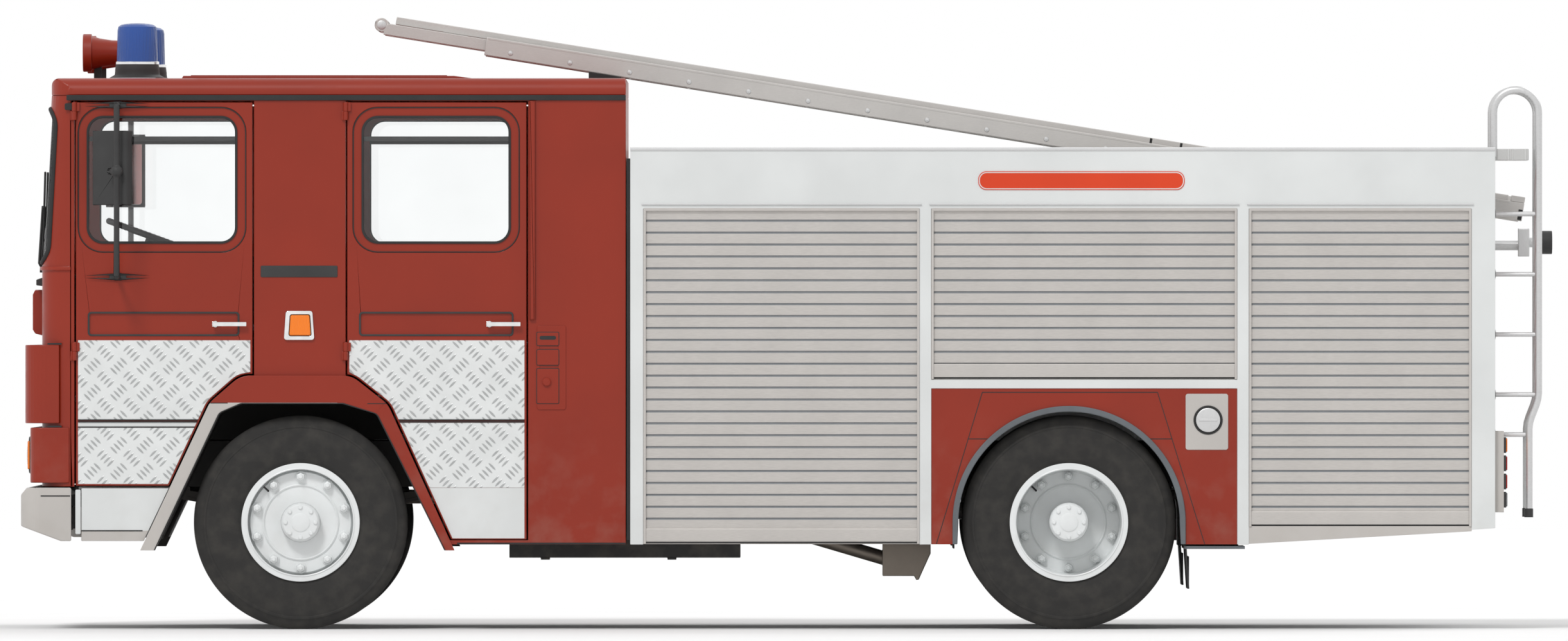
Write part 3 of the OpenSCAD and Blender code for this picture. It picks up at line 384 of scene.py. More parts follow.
@dataclass(frozen=True)
class TreadPlate(Finish):
    """Aluminium tread plate: groups of four raised bars, each group square to the next."""

    pitch: float = 0.092
    bars: float = 4.0
    # The default mark is a darker grey: painted shade on the raised bars.
    mark: Point = (0.34, 0.35, 0.35)
    flat: bool = False

    def dress(self, graph: Graph) -> None:
        """Adds the tread plate's nodes to a graph."""
        turn = (0.0, 0.0, math.radians(45)) if self.flat else (0.0, math.radians(45), 0.0)
        split = graph.node("ShaderNodeSeparateXYZ")
        graph.link(graph.scaled((1 / self.pitch,) * 3, turn), split.inputs[0])
        u, v = split.outputs[0], split.outputs[1 if self.flat else 2]
        cells = graph.maths("ADD", graph.maths("FLOOR", u), graph.maths("FLOOR", v))
        odd = graph.maths("ABSOLUTE", graph.maths("MODULO", cells, 2.0))
        even = graph.maths("SUBTRACT", 1.0, odd)
        fu, fv = graph.maths("FRACT", u), graph.maths("FRACT", v)

        def swapped(a: bpy.types.NodeSocket, b: bpy.types.NodeSocket) -> bpy.types.NodeSocket:
            """Takes a in odd cells and b in even ones."""
            return graph.maths("ADD", graph.maths("MULTIPLY", a, odd), graph.maths("MULTIPLY", b, even))

        along = graph.maths("MULTIPLY", graph.maths("SUBTRACT", swapped(fu, fv), 0.5), 3.4)
        phase = graph.maths("FRACT", graph.maths("MULTIPLY", swapped(fv, fu), self.bars))
        across = graph.maths("MULTIPLY", graph.maths("SUBTRACT", phase, 0.5), 4.2)
        oval = graph.maths("ADD", graph.maths("POWER", along, 2.0), graph.maths("POWER", across, 2.0))
        bar = graph.between(oval, 0.45, 1.0, 1.0, 0.0)
        # The bars take the mark colour in patches: on the floor plates a paler grey for wear, on the door plates a
        # darker grey that is painted shade.
        wear_and_shade_patches = graph.between(graph.noise(30.0, 5.0), 0.3, 0.8, 0.75, 1.0)
        tone = graph.ramp(graph.noise(6.0, 4.0), [(0.3, shade(self.colour, 0.95)), (0.7, shade(self.colour, 1.04))])
        graph.set(Base_Color=graph.mix(graph.maths("MULTIPLY", bar, wear_and_shade_patches), tone, self.mark), Metallic=0.25)
        graph.set(Roughness=graph.between(bar, 0.0, 1.0, self.roughness, self.roughness - 0.1))
        graph.bump(bar, 0.0022, 0.8)


@dataclass(frozen=True)
class Cloth(Finish):
    """A woven cover with a soft sheen."""

    thread: float = 900.0

    def dress(self, graph: Graph) -> None:
        """Adds the cloth's nodes to a graph."""
        weave = None
        for turn in ((0.0, 0.0, 0.0), (0.0, 0.0, math.radians(90))):
            wave = graph.node("ShaderNodeTexWave", bands_direction="DIAGONAL")
            graph.link(graph.scaled((1.0, 1.0, 1.0), turn), wave.inputs["Vector"])
            wave.inputs["Scale"].default_value = self.thread / 2
            weave = wave.outputs[1] if weave is None else graph.maths("MAXIMUM", weave, wave.outputs[1])
        worn = graph.noise(6.0, 4.0)
        base = graph.ramp(worn, [(0.35, shade(self.colour, 0.8)), (0.75, shade(self.colour, 1.35))])
        graph.set(Base_Color=graph.mix(graph.between(weave, 0.0, 1.0, 0.35, 0.0), base, shade(self.colour, 0.4)))
        graph.set(Roughness=self.roughness, Sheen_Weight=0.3)
        graph.bump(weave, 0.0006, 0.6)


RED = Paint("red_paint", "red_paint", (0.250, 0.020, 0.006), 0.34, dust=0.14)
PALE = Paint("pale_paint", "pale_paint", (0.66, 0.675, 0.67), 0.36, dust=0.10)
WARM = Paint("warm_grey_paint", "warm_grey_paint", (0.48, 0.455, 0.43), 0.42, dust=0.15, gloss=0.05)
WHEEL = Paint("wheel_paint", "wheel_paint", (0.75, 0.77, 0.77), 0.35, dust=0.12)
CHASSIS = Paint("chassis_black", "chassis_black", (0.026, 0.025, 0.024), 0.5, dust=0.14, dust_top=1.0, gloss=0.0)
LINER = Paint("arch_liner_black", "chassis_black", (0.024, 0.023, 0.022), 0.7, dust=0.12, gloss=0.0)
SPRING = Metal("spring_steel", "spring_steel", (0.07, 0.065, 0.06), 0.5, 0.6, (1.0, 4.0, 30.0))
EXHAUST = Metal("exhaust_steel", "exhaust_steel", (0.22, 0.19, 0.16), 0.45, 0.8, (1.0, 1.0, 1.0), 25.0)
FLOOR_PLATE = TreadPlate("floor_tread", "floor_tread", (0.50, 0.50, 0.49), 0.45, pitch=0.06, mark=(0.62, 0.62, 0.61), flat=True)
# Painted shade: the door plates' bars take the darker default mark colour.
DOOR_PLATE = TreadPlate("door_tread", "floor_tread", (0.70, 0.715, 0.71), 0.4)
BARE = Metal("bare_aluminium", "bare_aluminium", (0.60, 0.60, 0.60), 0.4, 0.9, (40.0, 1.0, 1.0))
SHUTTER = Metal("shutter_aluminium", "shutter_aluminium", (0.505, 0.48, 0.455), 0.48, 0.3, (1.0, 1.0, 18.0), 30.0)
# Painted shade: a darker grey-blue for the shutters' groove faces, standing for the shade between the slats' steps.
SHUTTER_GROOVE_SHADE = Metal("shutter_groove", "shutter_aluminium", (0.23, 0.24, 0.25), 0.6, 0.2, (1.0, 1.0, 18.0), 30.0)
TUBE = Metal("tube_aluminium", "tube_aluminium", (0.60, 0.60, 0.60), 0.34, 0.75, (1.0, 1.0, 8.0))
LADDER = Metal("ladder_aluminium", "ladder_aluminium", (0.54, 0.52, 0.50), 0.42, 0.4, (1.0, 12.0, 30.0))
CLEAR = Glass("clear_glass", "clear_glass", (0.985, 0.995, 0.995), 0.0)
LENS = Glass("lamp_lens", "lamp_lens", (0.95, 0.96, 0.97), 0.01, flutes=45.0)
BLUE = Glass("blue_lens", "blue_lens", (0.022, 0.085, 0.36), 0.12, clear=0.12, flutes=60.0)
AMBER = Glass("amber_lens", "lamp_lens", (1.0, 0.23, 0.01), 0.15, clear=0.12, flutes=60.0)
RED_LENS = Glass("red_lens", "red_lens", (0.5, 0.02, 0.012), 0.15, clear=0.12, flutes=60.0)
CHROME = Metal("chrome_trim", "tube_aluminium", (0.80, 0.80, 0.80), 0.12, 1.0, (1.0, 1.0, 1.0), 20.0)
MIRROR = Metal("mirror_silver", "clear_glass", (0.90, 0.91, 0.92), 0.09, 1.0, (1.0, 1.0, 1.0), 3.0)
PLASTIC = Rubber("black_plastic", "black_plastic", (0.032, 0.032, 0.032), 0.5, wear=1.4)
SEAL = Rubber("rubber_seal", "rubber_trim", (0.022, 0.022, 0.022), 0.65, wear=1.5)
EDGE_RUBBER = Rubber("arch_edge_rubber", "rubber_trim", (0.115, 0.125, 0.135), 0.7, wear=1.25)
TYRE = Rubber("tyre_rubber", "tyre_rubber", (0.026, 0.025, 0.024), 0.8, grain=300.0, wear=1.3, dust=0.10)
CLOTH = Cloth("seat_fabric", "seat_fabric", (0.05, 0.065, 0.10), 0.9)
AMBER_PAINT = Paint("number_plate_amber", "pale_paint", (0.62, 0.40, 0.02), 0.4, dust=0.2)
BOARD = Paint("name_board", "red_paint", (0.62, 0.045, 0.008), 0.35, dust=0.0)


# ---------------------------------------------------------------- shapes


def rounded(corners: Outline, radius: float | Sequence[float], steps: int = 8) -> Outline:
    """Rounds an outline's corners with arcs.

    Args:
        corners: The outline's corners, in order.
        radius: One radius, or one for each corner.
        steps: Straight pieces in each arc.

    Returns:
        The outline's points.
    """
    made: Outline = []
    for i, (x, y) in enumerate(corners):
        r = radius if isinstance(radius, (int, float)) else radius[i]
        here = Vector((x, y))
        before = (Vector(corners[i - 1]) - here).normalized()
        after = (Vector(corners[(i + 1) % len(corners)]) - here).normalized()
        if r <= 0:
            made.append((x, y))
            continue
        half = before.angle(after) / 2
        centre = here + (before + after).normalized() * r / math.sin(half)
        start = here + before * r / math.tan(half) - centre
        sign = 1 if start.x * (here + after * r / math.tan(half) - centre).y - start.y * (
            here + after * r / math.tan(half) - centre).x > 0 else -1
        turn = sign * (math.pi - 2 * half)
        for k in range(steps + 1):
            t = turn * k / steps
            made.append((centre.x + start.x * math.cos(t) - start.y * math.sin(t),
                         centre.y + start.x * math.sin(t) + start.y * math.cos(t)))
    return made


def rectangle(low: Sequence[float], high: Sequence[float], radius: float = 0.0, steps: int = 8) -> Outline:
    """A rectangle's outline between two corners, with rounded corners."""
    corners = [(low[0], low[1]), (high[0], low[1]), (high[0], high[1]), (low[0], high[1])]
    return rounded(corners, radius, steps)


def circle(centre: Sequence[float], radius: float, steps: int = 48) -> Outline:
    """A circle's outline."""
    return [(centre[0] + radius * math.cos(t), centre[1] + radius * math.sin(t))
            for t in (2 * math.pi * k / steps for k in range(steps))]


class Shape:
    """A mesh that is built up from simple solids."""

    def __init__(self) -> None:
        """Starts with no points."""
        self.points: list[Vector] = []
        self.faces: list[tuple[int, ...]] = []

    def add(self, points: Iterable[Sequence[float]], faces: Iterable[Sequence[int]]) -> "Shape":
        """Adds points and the faces between them.

        Args:
            points: The new points.
            faces: The faces, numbered from the first new point.

        Returns:
            The shape itself.
        """
        base = len(self.points)
        self.points += [Vector(p) for p in points]
        self.faces += [tuple(base + i for i in face) for face in faces]
        return self

    def prism(self, outline: Outline, plane: Plane, low: float, high: float, hole: Outline | None = None) -> "Shape":
        """Adds an outline pushed along the axis square to its plane.

        Args:
            outline: The outline's points.
            plane: The plane it is drawn in.
            low: Where it starts along the third axis.
            high: Where it ends.
            hole: An inner outline with as many points, left open.

        Returns:
            The shape itself.
        """
        a, b, c = plane.value

        def placed(point: Sequence[float], depth: float) -> Vector:
            """A point of the outline at a depth."""
            made = Vector((0.0, 0.0, 0.0))
            made[a], made[b], made[c] = point[0], point[1], depth
            return made

        loops = [outline] + ([hole] if hole else [])
        n = len(outline)
        points = [placed(p, depth) for loop in loops for depth in (low, high) for p in loop]
        faces = [(i, (i + 1) % n, n + (i + 1) % n, n + i) for i in range(n)]
        if hole:
            faces += [(2 * n + (i + 1) % n, 2 * n + i, 3 * n + i, 3 * n + (i + 1) % n) for i in range(n)]
            faces += [(i, 2 * n + i, 2 * n + (i + 1) % n, (i + 1) % n) for i in range(n)]
            faces += [(n + (i + 1) % n, 3 * n + (i + 1) % n, 3 * n + i, n + i) for i in range(n)]
        else:
            faces += [tuple(reversed(range(n))), tuple(range(n, 2 * n))]
        return self.add(points, faces)

    def box(self, low: Sequence[float], high: Sequence[float]) -> "Shape":
        """Adds a box between two corners."""
        return self.prism(rectangle(low[:2], high[:2]), Plane.TOP, low[2], high[2])

    def turned(self, profile: Sequence[tuple[float, float]], centre: Sequence[float], axis: Axis, steps: int = 32,
               flip: bool = False) -> "Shape":
        """Adds a profile turned about an axis.

        Args:
            profile: Radius and distance along the axis, point by point.
            centre: Where the distances start.
            axis: The axis.
            steps: Straight pieces round the turn.
            flip: Whether the distances run backwards along the axis.

        Returns:
            The shape itself.
        """
        c = axis.value
        a, b = [(1, 2), (2, 0), (0, 1)][c]
        sign = -1 if flip else 1
        points = []
        for r, h in profile:
            for k in range(steps):
                t = 2 * math.pi * k / steps
                made = Vector(centre)
                made[a] += r * math.cos(t)
                made[b] += r * math.sin(t)
                made[c] += sign * h
                points.append(made)
        faces = []
        for i in range(len(profile) - 1):
            for k in range(steps):
                j = (k + 1) % steps
                faces.append((i * steps + k, i * steps + j, (i + 1) * steps + j, (i + 1) * steps + k))
        last = (len(profile) - 1) * steps
        if profile[0][0] > 0 and profile[0] != profile[-1]:
            faces.append(tuple(reversed(range(steps))))
        if profile[-1][0] > 0 and profile[0] != profile[-1]:
            faces.append(tuple(range(last, last + steps)))
        return self.add(points, faces)

    def rod(self, start: Sequence[float], end: Sequence[float], radius: float, steps: int = 20) -> "Shape":
        """Adds a round rod between two points."""
        return self.tube([start, end], radius, steps)

    def tube(self, path: Sequence[Sequence[float]], radius: float, steps: int = 14, closed: bool = False) -> "Shape":
        """Adds a round tube along a path.

        Args:
            path: The points that it follows.
            radius: Its radius.
            steps: Sides.
            closed: Whether the path joins up.

        Returns:
            The shape itself.
        """
        line = [Vector(p) for p in path]
        n = len(line)
        first = (line[1] - line[0]).normalized()
        up = Vector((0, 0, 1)) if abs(first.z) < 0.9 else Vector((1, 0, 0))
        across = first.cross(up).normalized()
        points = []
        for i, here in enumerate(line):
            before = line[i - 1] if closed or i else here
            after = line[(i + 1) % n] if closed or i < n - 1 else here
            along = (after - before).normalized()
            across = (across - along * across.dot(along)).normalized()
            other = along.cross(across)
            bend = 1.0
            if before != here and after != here:
                bend = 1 / max(0.5, (here - before).normalized().dot(along))
            for k in range(steps):
                t = 2 * math.pi * k / steps
                points.append(here + (across * math.cos(t) + other * math.sin(t)) * radius * bend)
        faces = []
        for i in range(n if closed else n - 1):
            for k in range(steps):
                j, m = (k + 1) % steps, (i + 1) % n
                faces.append((i * steps + k, i * steps + j, m * steps + j, m * steps + k))
        if not closed:
            faces += [tuple(reversed(range(steps))), tuple(range((n - 1) * steps, n * steps))]
        return self.add(points, faces)

    def copy(self, matrix: Matrix) -> "Shape":
        """A moved copy.

        Args:
            matrix: Where the copy goes.

        Returns:
            The copy.
        """
        made = Shape()
        made.points = [matrix @ p for p in self.points]
        flipped = matrix.to_3x3().determinant() < 0
        made.faces = [tuple(reversed(f)) if flipped else f for f in self.faces]
        return made

    def join(self, *others: "Shape") -> "Shape":
        """Adds the solids of other shapes."""
        for other in others:
            self.add(other.points, other.faces)
        return self

    def on(self, side: Side) -> "Shape":
        """The shape as drawn for the left side, or its mirror image on the right."""
        return self if side is Side.LEFT else self.copy(Matrix.Scale(-1, 4, (0, 1, 0)))

    def piece(self, name: str, body: str, finish: Finish, bevel: float = 0.0, crease: float = 35.0,
              segments: int = 2) -> bpy.types.Object:
        """Makes the Blender object.

        Args:
            name: Its name.
            body: The body that it rides on.
            finish: Its finish.
            bevel: Width of the rounding on its edges.
            crease: Edges sharper than this stay sharp, in degrees.
            segments: Steps in the rounding.

        Returns:
            The object.
        """
        mesh = bpy.data.meshes.new(name)
        mesh.from_pydata([p + ORIGIN for p in self.points], [], self.faces)
        return finished(name, mesh, body, finish, bevel, crease, segments)


def finished(name: str, mesh: bpy.types.Mesh, body: str, finish: Finish, bevel: float, crease: float,
             segments: int = 2) -> bpy.types.Object:
    """Turns a mesh into a dressed piece that rides on a body.

    Args:
        name: The piece's name.
        mesh: Its mesh.
        body: The body that it rides on.
        finish: Its finish.
        bevel: Width of the rounding on its edges.
        crease: Edges sharper than this stay sharp, in degrees.
        segments: Steps in the rounding.

    Returns:
        The object.
    """
    work = bmesh.new()
    work.from_mesh(mesh)
    bmesh.ops.recalc_face_normals(work, faces=work.faces)
    work.to_mesh(mesh)
    work.free()
    made = bpy.data.objects.new(name, mesh)
    bpy.context.scene.collection.objects.link(made)
    mesh.materials.append(finish.material())
    mesh.shade_smooth()
    mesh.set_sharp_from_angle(angle=math.radians(crease))
    if bevel:
        rounding = made.modifiers.new("rounding", "BEVEL")
        rounding.width = bevel
        rounding.segments = segments
        rounding.limit_method = "ANGLE"
        rounding.angle_limit = math.radians(38)
        rounding.use_clamp_overlap = False
        weights = made.modifiers.new("flat_faces", "WEIGHTED_NORMAL")
        weights.keep_sharp = True
    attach(made, body)
    LOG.info("%s rides on %s", name, body)
    return made


def body_of_node(node: str) -> str:
    """The name of the body that holds a CAD node."""
    return next(name for name, nodes in frame["record"]["behaviour"]["bodies"].items() if node in nodes)


def recast(node: str, finish: Finish, bevel: float = 0.003,
           zones: Sequence[tuple[Finish, Callable[[Vector, Vector], bool]]] = (),
           leave: Callable[[Vector], bool] | None = None,
           cuts: Sequence[tuple[Point, Point]] = ()) -> bpy.types.Object:
    """Stands a copy of a CAD node, with rounded edges, in the node's place.

    Args:
        node: The node.
        finish: The copy's main finish.
        bevel: Width of the rounding on its edges.
        zones: Other finishes, each with a test of a face's middle and normal.
        leave: A test of a face's middle that says which loose solids are left out.
        cuts: Planes, each a point and a normal, that the faces are split along for the zones.

    Returns:
        The copy.
    """
    mesh = bpy.data.meshes.new(node + "_skin")
    work = bmesh.new()
    work.from_mesh(frame["nodes"][node].data)
    bmesh.ops.remove_doubles(work, verts=work.verts, dist=1e-5)
    for spot, normal in cuts:
        bmesh.ops.bisect_plane(work, geom=[*work.verts, *work.edges, *work.faces], plane_co=Vector(spot) + ORIGIN,
                               plane_no=normal)
    if leave is not None:
        doomed = [f for f in work.faces if leave(f.calc_center_median())]
        bmesh.ops.delete(work, geom=doomed, context="FACES")
    work.to_mesh(mesh)
    work.free()
    made = finished(node + "_skin", mesh, body_of_node(node), finish, bevel, 32.0)
    for other, _ in zones:
        mesh.materials.append(other.material())
    for polygon in mesh.polygons:
        hits = [index for index, (_, test) in enumerate(zones, 1) if test(polygon.center, polygon.normal)]
        polygon.material_index = hits[0] if hits else 0
    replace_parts(made, node)
    return made


# ---------------------------------------------------------------- where things are

ORIGIN = Vector((sum(v.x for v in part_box("front_left_wheel")) / 2, 0.0, 0.0))


def span(node: str) -> tuple[Vector, Vector]:
    """A CAD node's box, measured from the front axle's line.

    Args:
        node: The node.

    Returns:
        Its lowest and highest corners.
    """
    low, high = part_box(node)
    return low - ORIGIN, high - ORIGIN


def across(span_x: tuple[float, float], span_z: tuple[float, float]) -> Callable[[Vector, Vector], bool]:
    """A test for faces whose middle lies in a range of X and Z, with X measured from the front axle."""
    return lambda p, n: span_x[0] < p.x - ORIGIN.x < span_x[1] and span_z[0] < p.z < span_z[1]


def above(y: float) -> Callable[[Vector, Vector], bool]:
    """A test for faces that lie further out than y on either side."""
    return lambda p, n: abs(p.y) > y


def facing_up(p: Vector, n: Vector) -> bool:
    """A test for faces that look upwards."""
    return n.z > 0.9


CAB_Y = span("cab_roof")[1].y
AXLE_Z = (span("front_left_wheel")[0].z + span("front_left_wheel")[1].z) / 2


# ---------------------------------------------------------------- wheels


@dataclass(frozen=True)
class TyreSize:
    """Sizes of a tyre's surface."""

    outer: float = 0.528
    half: float = 0.140
    crown: float = 0.104
    grooves: tuple[float, ...] = (-0.062, -0.021, 0.021, 0.062)
    groove_half: float = 0.0055
    groove_depth: float = 0.013
    zigzag: float = 0.006
    lugs: int = 48
    steps: int = 240
    side: Sequence[tuple[float, float]] = (
        (0.2755, 0.1172), (0.302, 0.1215), (0.309, 0.1262), (0.318, 0.1282), (0.334, 0.1318), (0.352, 0.1362),
        (0.373, 0.1392), (0.383, 0.1385), (0.389, 0.1398), (0.396, 0.1385), (0.430, 0.1392), (0.455, 0.1382),
        (0.466, 0.1366), (0.470, 0.1392), (0.479, 0.1386), (0.483, 0.1352), (0.496, 0.1312), (0.508, 0.1262),
        (0.514, 0.1222), (0.520, 0.1165), (0.5255, 0.1098))


@dataclass
class Wheels:
    """The wheels and tyres on one end of an axle."""

    corner: str
    side: Side
    plural: bool
    tyre: TyreSize = field(default_factory=TyreSize)
    nuts: int = 10
    nut_circle: float = 0.226
    nut_r: float = 0.023
    centre: Vector = field(default_factory=Vector)

    def tread_depth(self, y: float, turn: float) -> float:
        """How deep the tread is cut.

        Args:
            y: Place across the tread.
            turn: Place round the tyre, from 0 to 1.

        Returns:
            The depth.
        """
        phase = (turn * self.tyre.lugs) % 1.0
        shift = self.tyre.zigzag * (abs(phase - 0.5) * 4 - 1)
        for i, groove in enumerate(self.tyre.grooves):
            if abs(y - groove - shift * (-1) ** i) < self.tyre.groove_half:
                return self.tyre.groove_depth
        if abs(y) > self.tyre.grooves[-1] + 0.012 and phase < 0.22:
            return self.tyre.groove_depth * 0.8
        return 0.0

    def tyre_shape(self, middle: float) -> Shape:
        """One tyre as a closed skin.

        Args:
            middle: The tyre's middle along Y.

        Returns:
            The tyre.
        """
        size = self.tyre
        count = int(2 * size.crown / 0.0055)
        tread = [(size.outer, size.crown * (2 * i / count - 1)) for i in range(count + 1)]
        profile = [(r, -y) for r, y in size.side] + tread + [(r, y) for r, y in reversed(size.side)]
        first = len(size.side)
        points, faces = [], []
        x, z, n = self.centre.x, self.centre.z, size.steps
        for i, (r, y) in enumerate(profile):
            for k in range(n):
                cut = self.tread_depth(y, k / n) if first < i < first + count else 0.0
                t = 2 * math.pi * k / n
                points.append((x + (r - cut) * math.cos(t), middle + y, z + (r - cut) * math.sin(t)))
        rows = len(profile)
        for i in range(rows):
            for k in range(n):
                j, m = (k + 1) % n, (i + 1) % rows
                faces.append((i * n + k, i * n + j, m * n + j, m * n + k))
        return Shape().add(points, faces)

    @property
    def wheel_node(self) -> str:
        """The wheel's node, which is also its body's name."""
        return f"{self.corner}_{self.side.word}_wheel" + ("s" if self.plural else "")

    @property
    def tyre_node(self) -> str:
        """The tyre's node."""
        return f"{self.corner}_{self.side.word}_tyre" + ("s" if self.plural else "")

    def build(self) -> None:
        """Makes the tyres, the rims' rings, the nuts, the hub's cap and the valve."""
        low, high = span(self.tyre_node)
        self.centre = (low + high) / 2
        outer = max(abs(low.y), abs(high.y)) - self.tyre.half
        inner = min(abs(low.y), abs(high.y)) + self.tyre.half
        tyres = self.tyre_shape(outer)
        if self.plural:
            tyres.join(self.tyre_shape(inner))
        body = self.wheel_node
        skin = tyres.on(self.side).piece(self.tyre_node + "_skin", body, TYRE, crease=28)
        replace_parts(skin, self.tyre_node)
        recast(self.wheel_node, WHEEL, 0.002)
        face = -0.1485 if self.plural else 0.086
        cap = 0.030 if self.plural else 0.110
        hub = (self.centre.x, outer, self.centre.z)
        rings = Shape()
        for r, half, at, out in ((0.2655, 0.004, 0.126, 0.005), (0.184, 0.006, face - 0.002, 0.010)):
            if at == 0.126:
                at = 0.1285
            rings.turned([(r - half, at - 0.004), (r - half, at + out * 0.6), (r, at + out), (r + half, at + out * 0.6),
                          (r + half, at - 0.004), (r - half, at - 0.004)], hub, Axis.Y, 96)
        rings.turned([(0.0, cap + 0.055), (0.040, cap + 0.0585), (0.046, cap + 0.056), (0.046, cap + 0.050)],
                     hub, Axis.Y, 48)
        rings.on(self.side).piece(body + "_rings", body, WHEEL, crease=50)
        bolts, caps = Shape(), Shape()
        for k in range(self.nuts):
            t = 2 * math.pi * (k + 0.5) / self.nuts
            spot = (hub[0] + self.nut_circle * math.cos(t), hub[1] + face, hub[2] + self.nut_circle * math.sin(t))
            bolts.turned([(0.028, -0.001), (0.028, 0.005), (0.026, 0.007), (0.0, 0.007)], spot, Axis.Y, 28)
            caps.turned([(self.nut_r, 0.006), (self.nut_r, 0.024), (self.nut_r * 0.8, 0.031), (0.011, 0.034),
                         (0.011, 0.042), (0.009, 0.044), (0.0, 0.044)], spot, Axis.Y, 6)
        for k in range(8):
            t = 2 * math.pi * k / 8
            spot = (hub[0] + 0.074 * math.cos(t), hub[1] + cap + 0.050, hub[2] + 0.074 * math.sin(t))
            caps.turned([(0.011, 0.0), (0.011, 0.008), (0.009, 0.010), (0.0, 0.010)], spot, Axis.Y, 6)
        bolts.on(self.side).piece(body + "_washers", body, WHEEL)
        caps.on(self.side).piece(body + "_nuts", body, WHEEL, 0.0012)
        valve = Shape().tube([(hub[0] + 0.16, hub[1] + face, hub[2] + 0.155),
                              (hub[0] + 0.17, hub[1] + face + 0.03, hub[2] + 0.165),
                              (hub[0] + 0.18, hub[1] + face + 0.05, hub[2] + 0.175)], 0.005, 12)
        valve.on(self.side).piece(body + "_valve", body, SEAL)


# ---------------------------------------------------------------- wheel arches


@dataclass(frozen=True)
class ArchSize:
    """Corners of the front wheel arch seen from the side, and their rounding."""

    outer: Sequence[tuple[float, float]] = ((0.788, 0.390), (0.444, 1.120), (0.293, 1.251), (-0.251, 1.251),
                                            (-0.430, 1.110), (-0.759, 0.390))
    inner: Sequence[tuple[float, float]] = ((0.718, 0.390), (0.396, 1.069), (0.290, 1.113), (-0.210, 1.113),
                                            (-0.376, 1.063), (-0.712, 0.390))
    push: Sequence[tuple[float, float]] = ((1.1, 0.0), (1.0, 0.5), (0.5, 1.0), (-0.5, 1.0), (-1.0, 0.5), (-1.1, 0.0))

    def line(self, grow: float, corners: Sequence[tuple[float, float]], radius: float) -> Outline:
        """The arch's outline, grown outwards.

        Args:
            grow: How far it is grown.
            corners: The corners to use.
            radius: The corners' rounding.

        Returns:
            The outline's points, from the front leg round to the rear one.
        """
        grown = [(x + grow * px, z + grow * pz) for (x, z), (px, pz) in zip(corners, self.push)]
        return rounded(grown, [0, radius, radius, radius, radius, 0])

    def leg(self, z: float, sign: int, grow: float) -> float:
        """Where a leg of the arch's outer edge is.

        Args:
            z: The height.
            sign: 1 for the front leg and -1 for the rear one.
            grow: How far the outline is grown.

        Returns:
            The leg's X, or the middle's when z is above the arch.
        """
        line = [p for p in self.line(grow, self.outer, 0.130) if p[0] * sign > 0]
        line.sort(key=lambda p: p[1])
        for (x0, z0), (x1, z1) in zip(line, line[1:]):
            if z0 <= z <= z1:
                return x0 + (x1 - x0) * (z - z0) / max(1e-9, z1 - z0)
        return 0.0

    def beside(self, low: float, high: float, near: float, far: float, grow: float) -> Outline:
        """An upright panel's outline that stops short of the arch.

        Args:
            low: The panel's bottom.
            high: Its top.
            near: Its edge above the arch.
            far: Its other edge.
            grow: The gap to the arch.

        Returns:
            The panel's outline.
        """
        sign = 1 if far > near else -1
        heights = [low + (high - low) * k / 40 for k in range(41)]
        return [(far, high), (far, low)] + [(sign * max(sign * near, sign * self.leg(z, sign, grow)), z) for z in heights]


ARCH = ArchSize()


# ---------------------------------------------------------------- doors


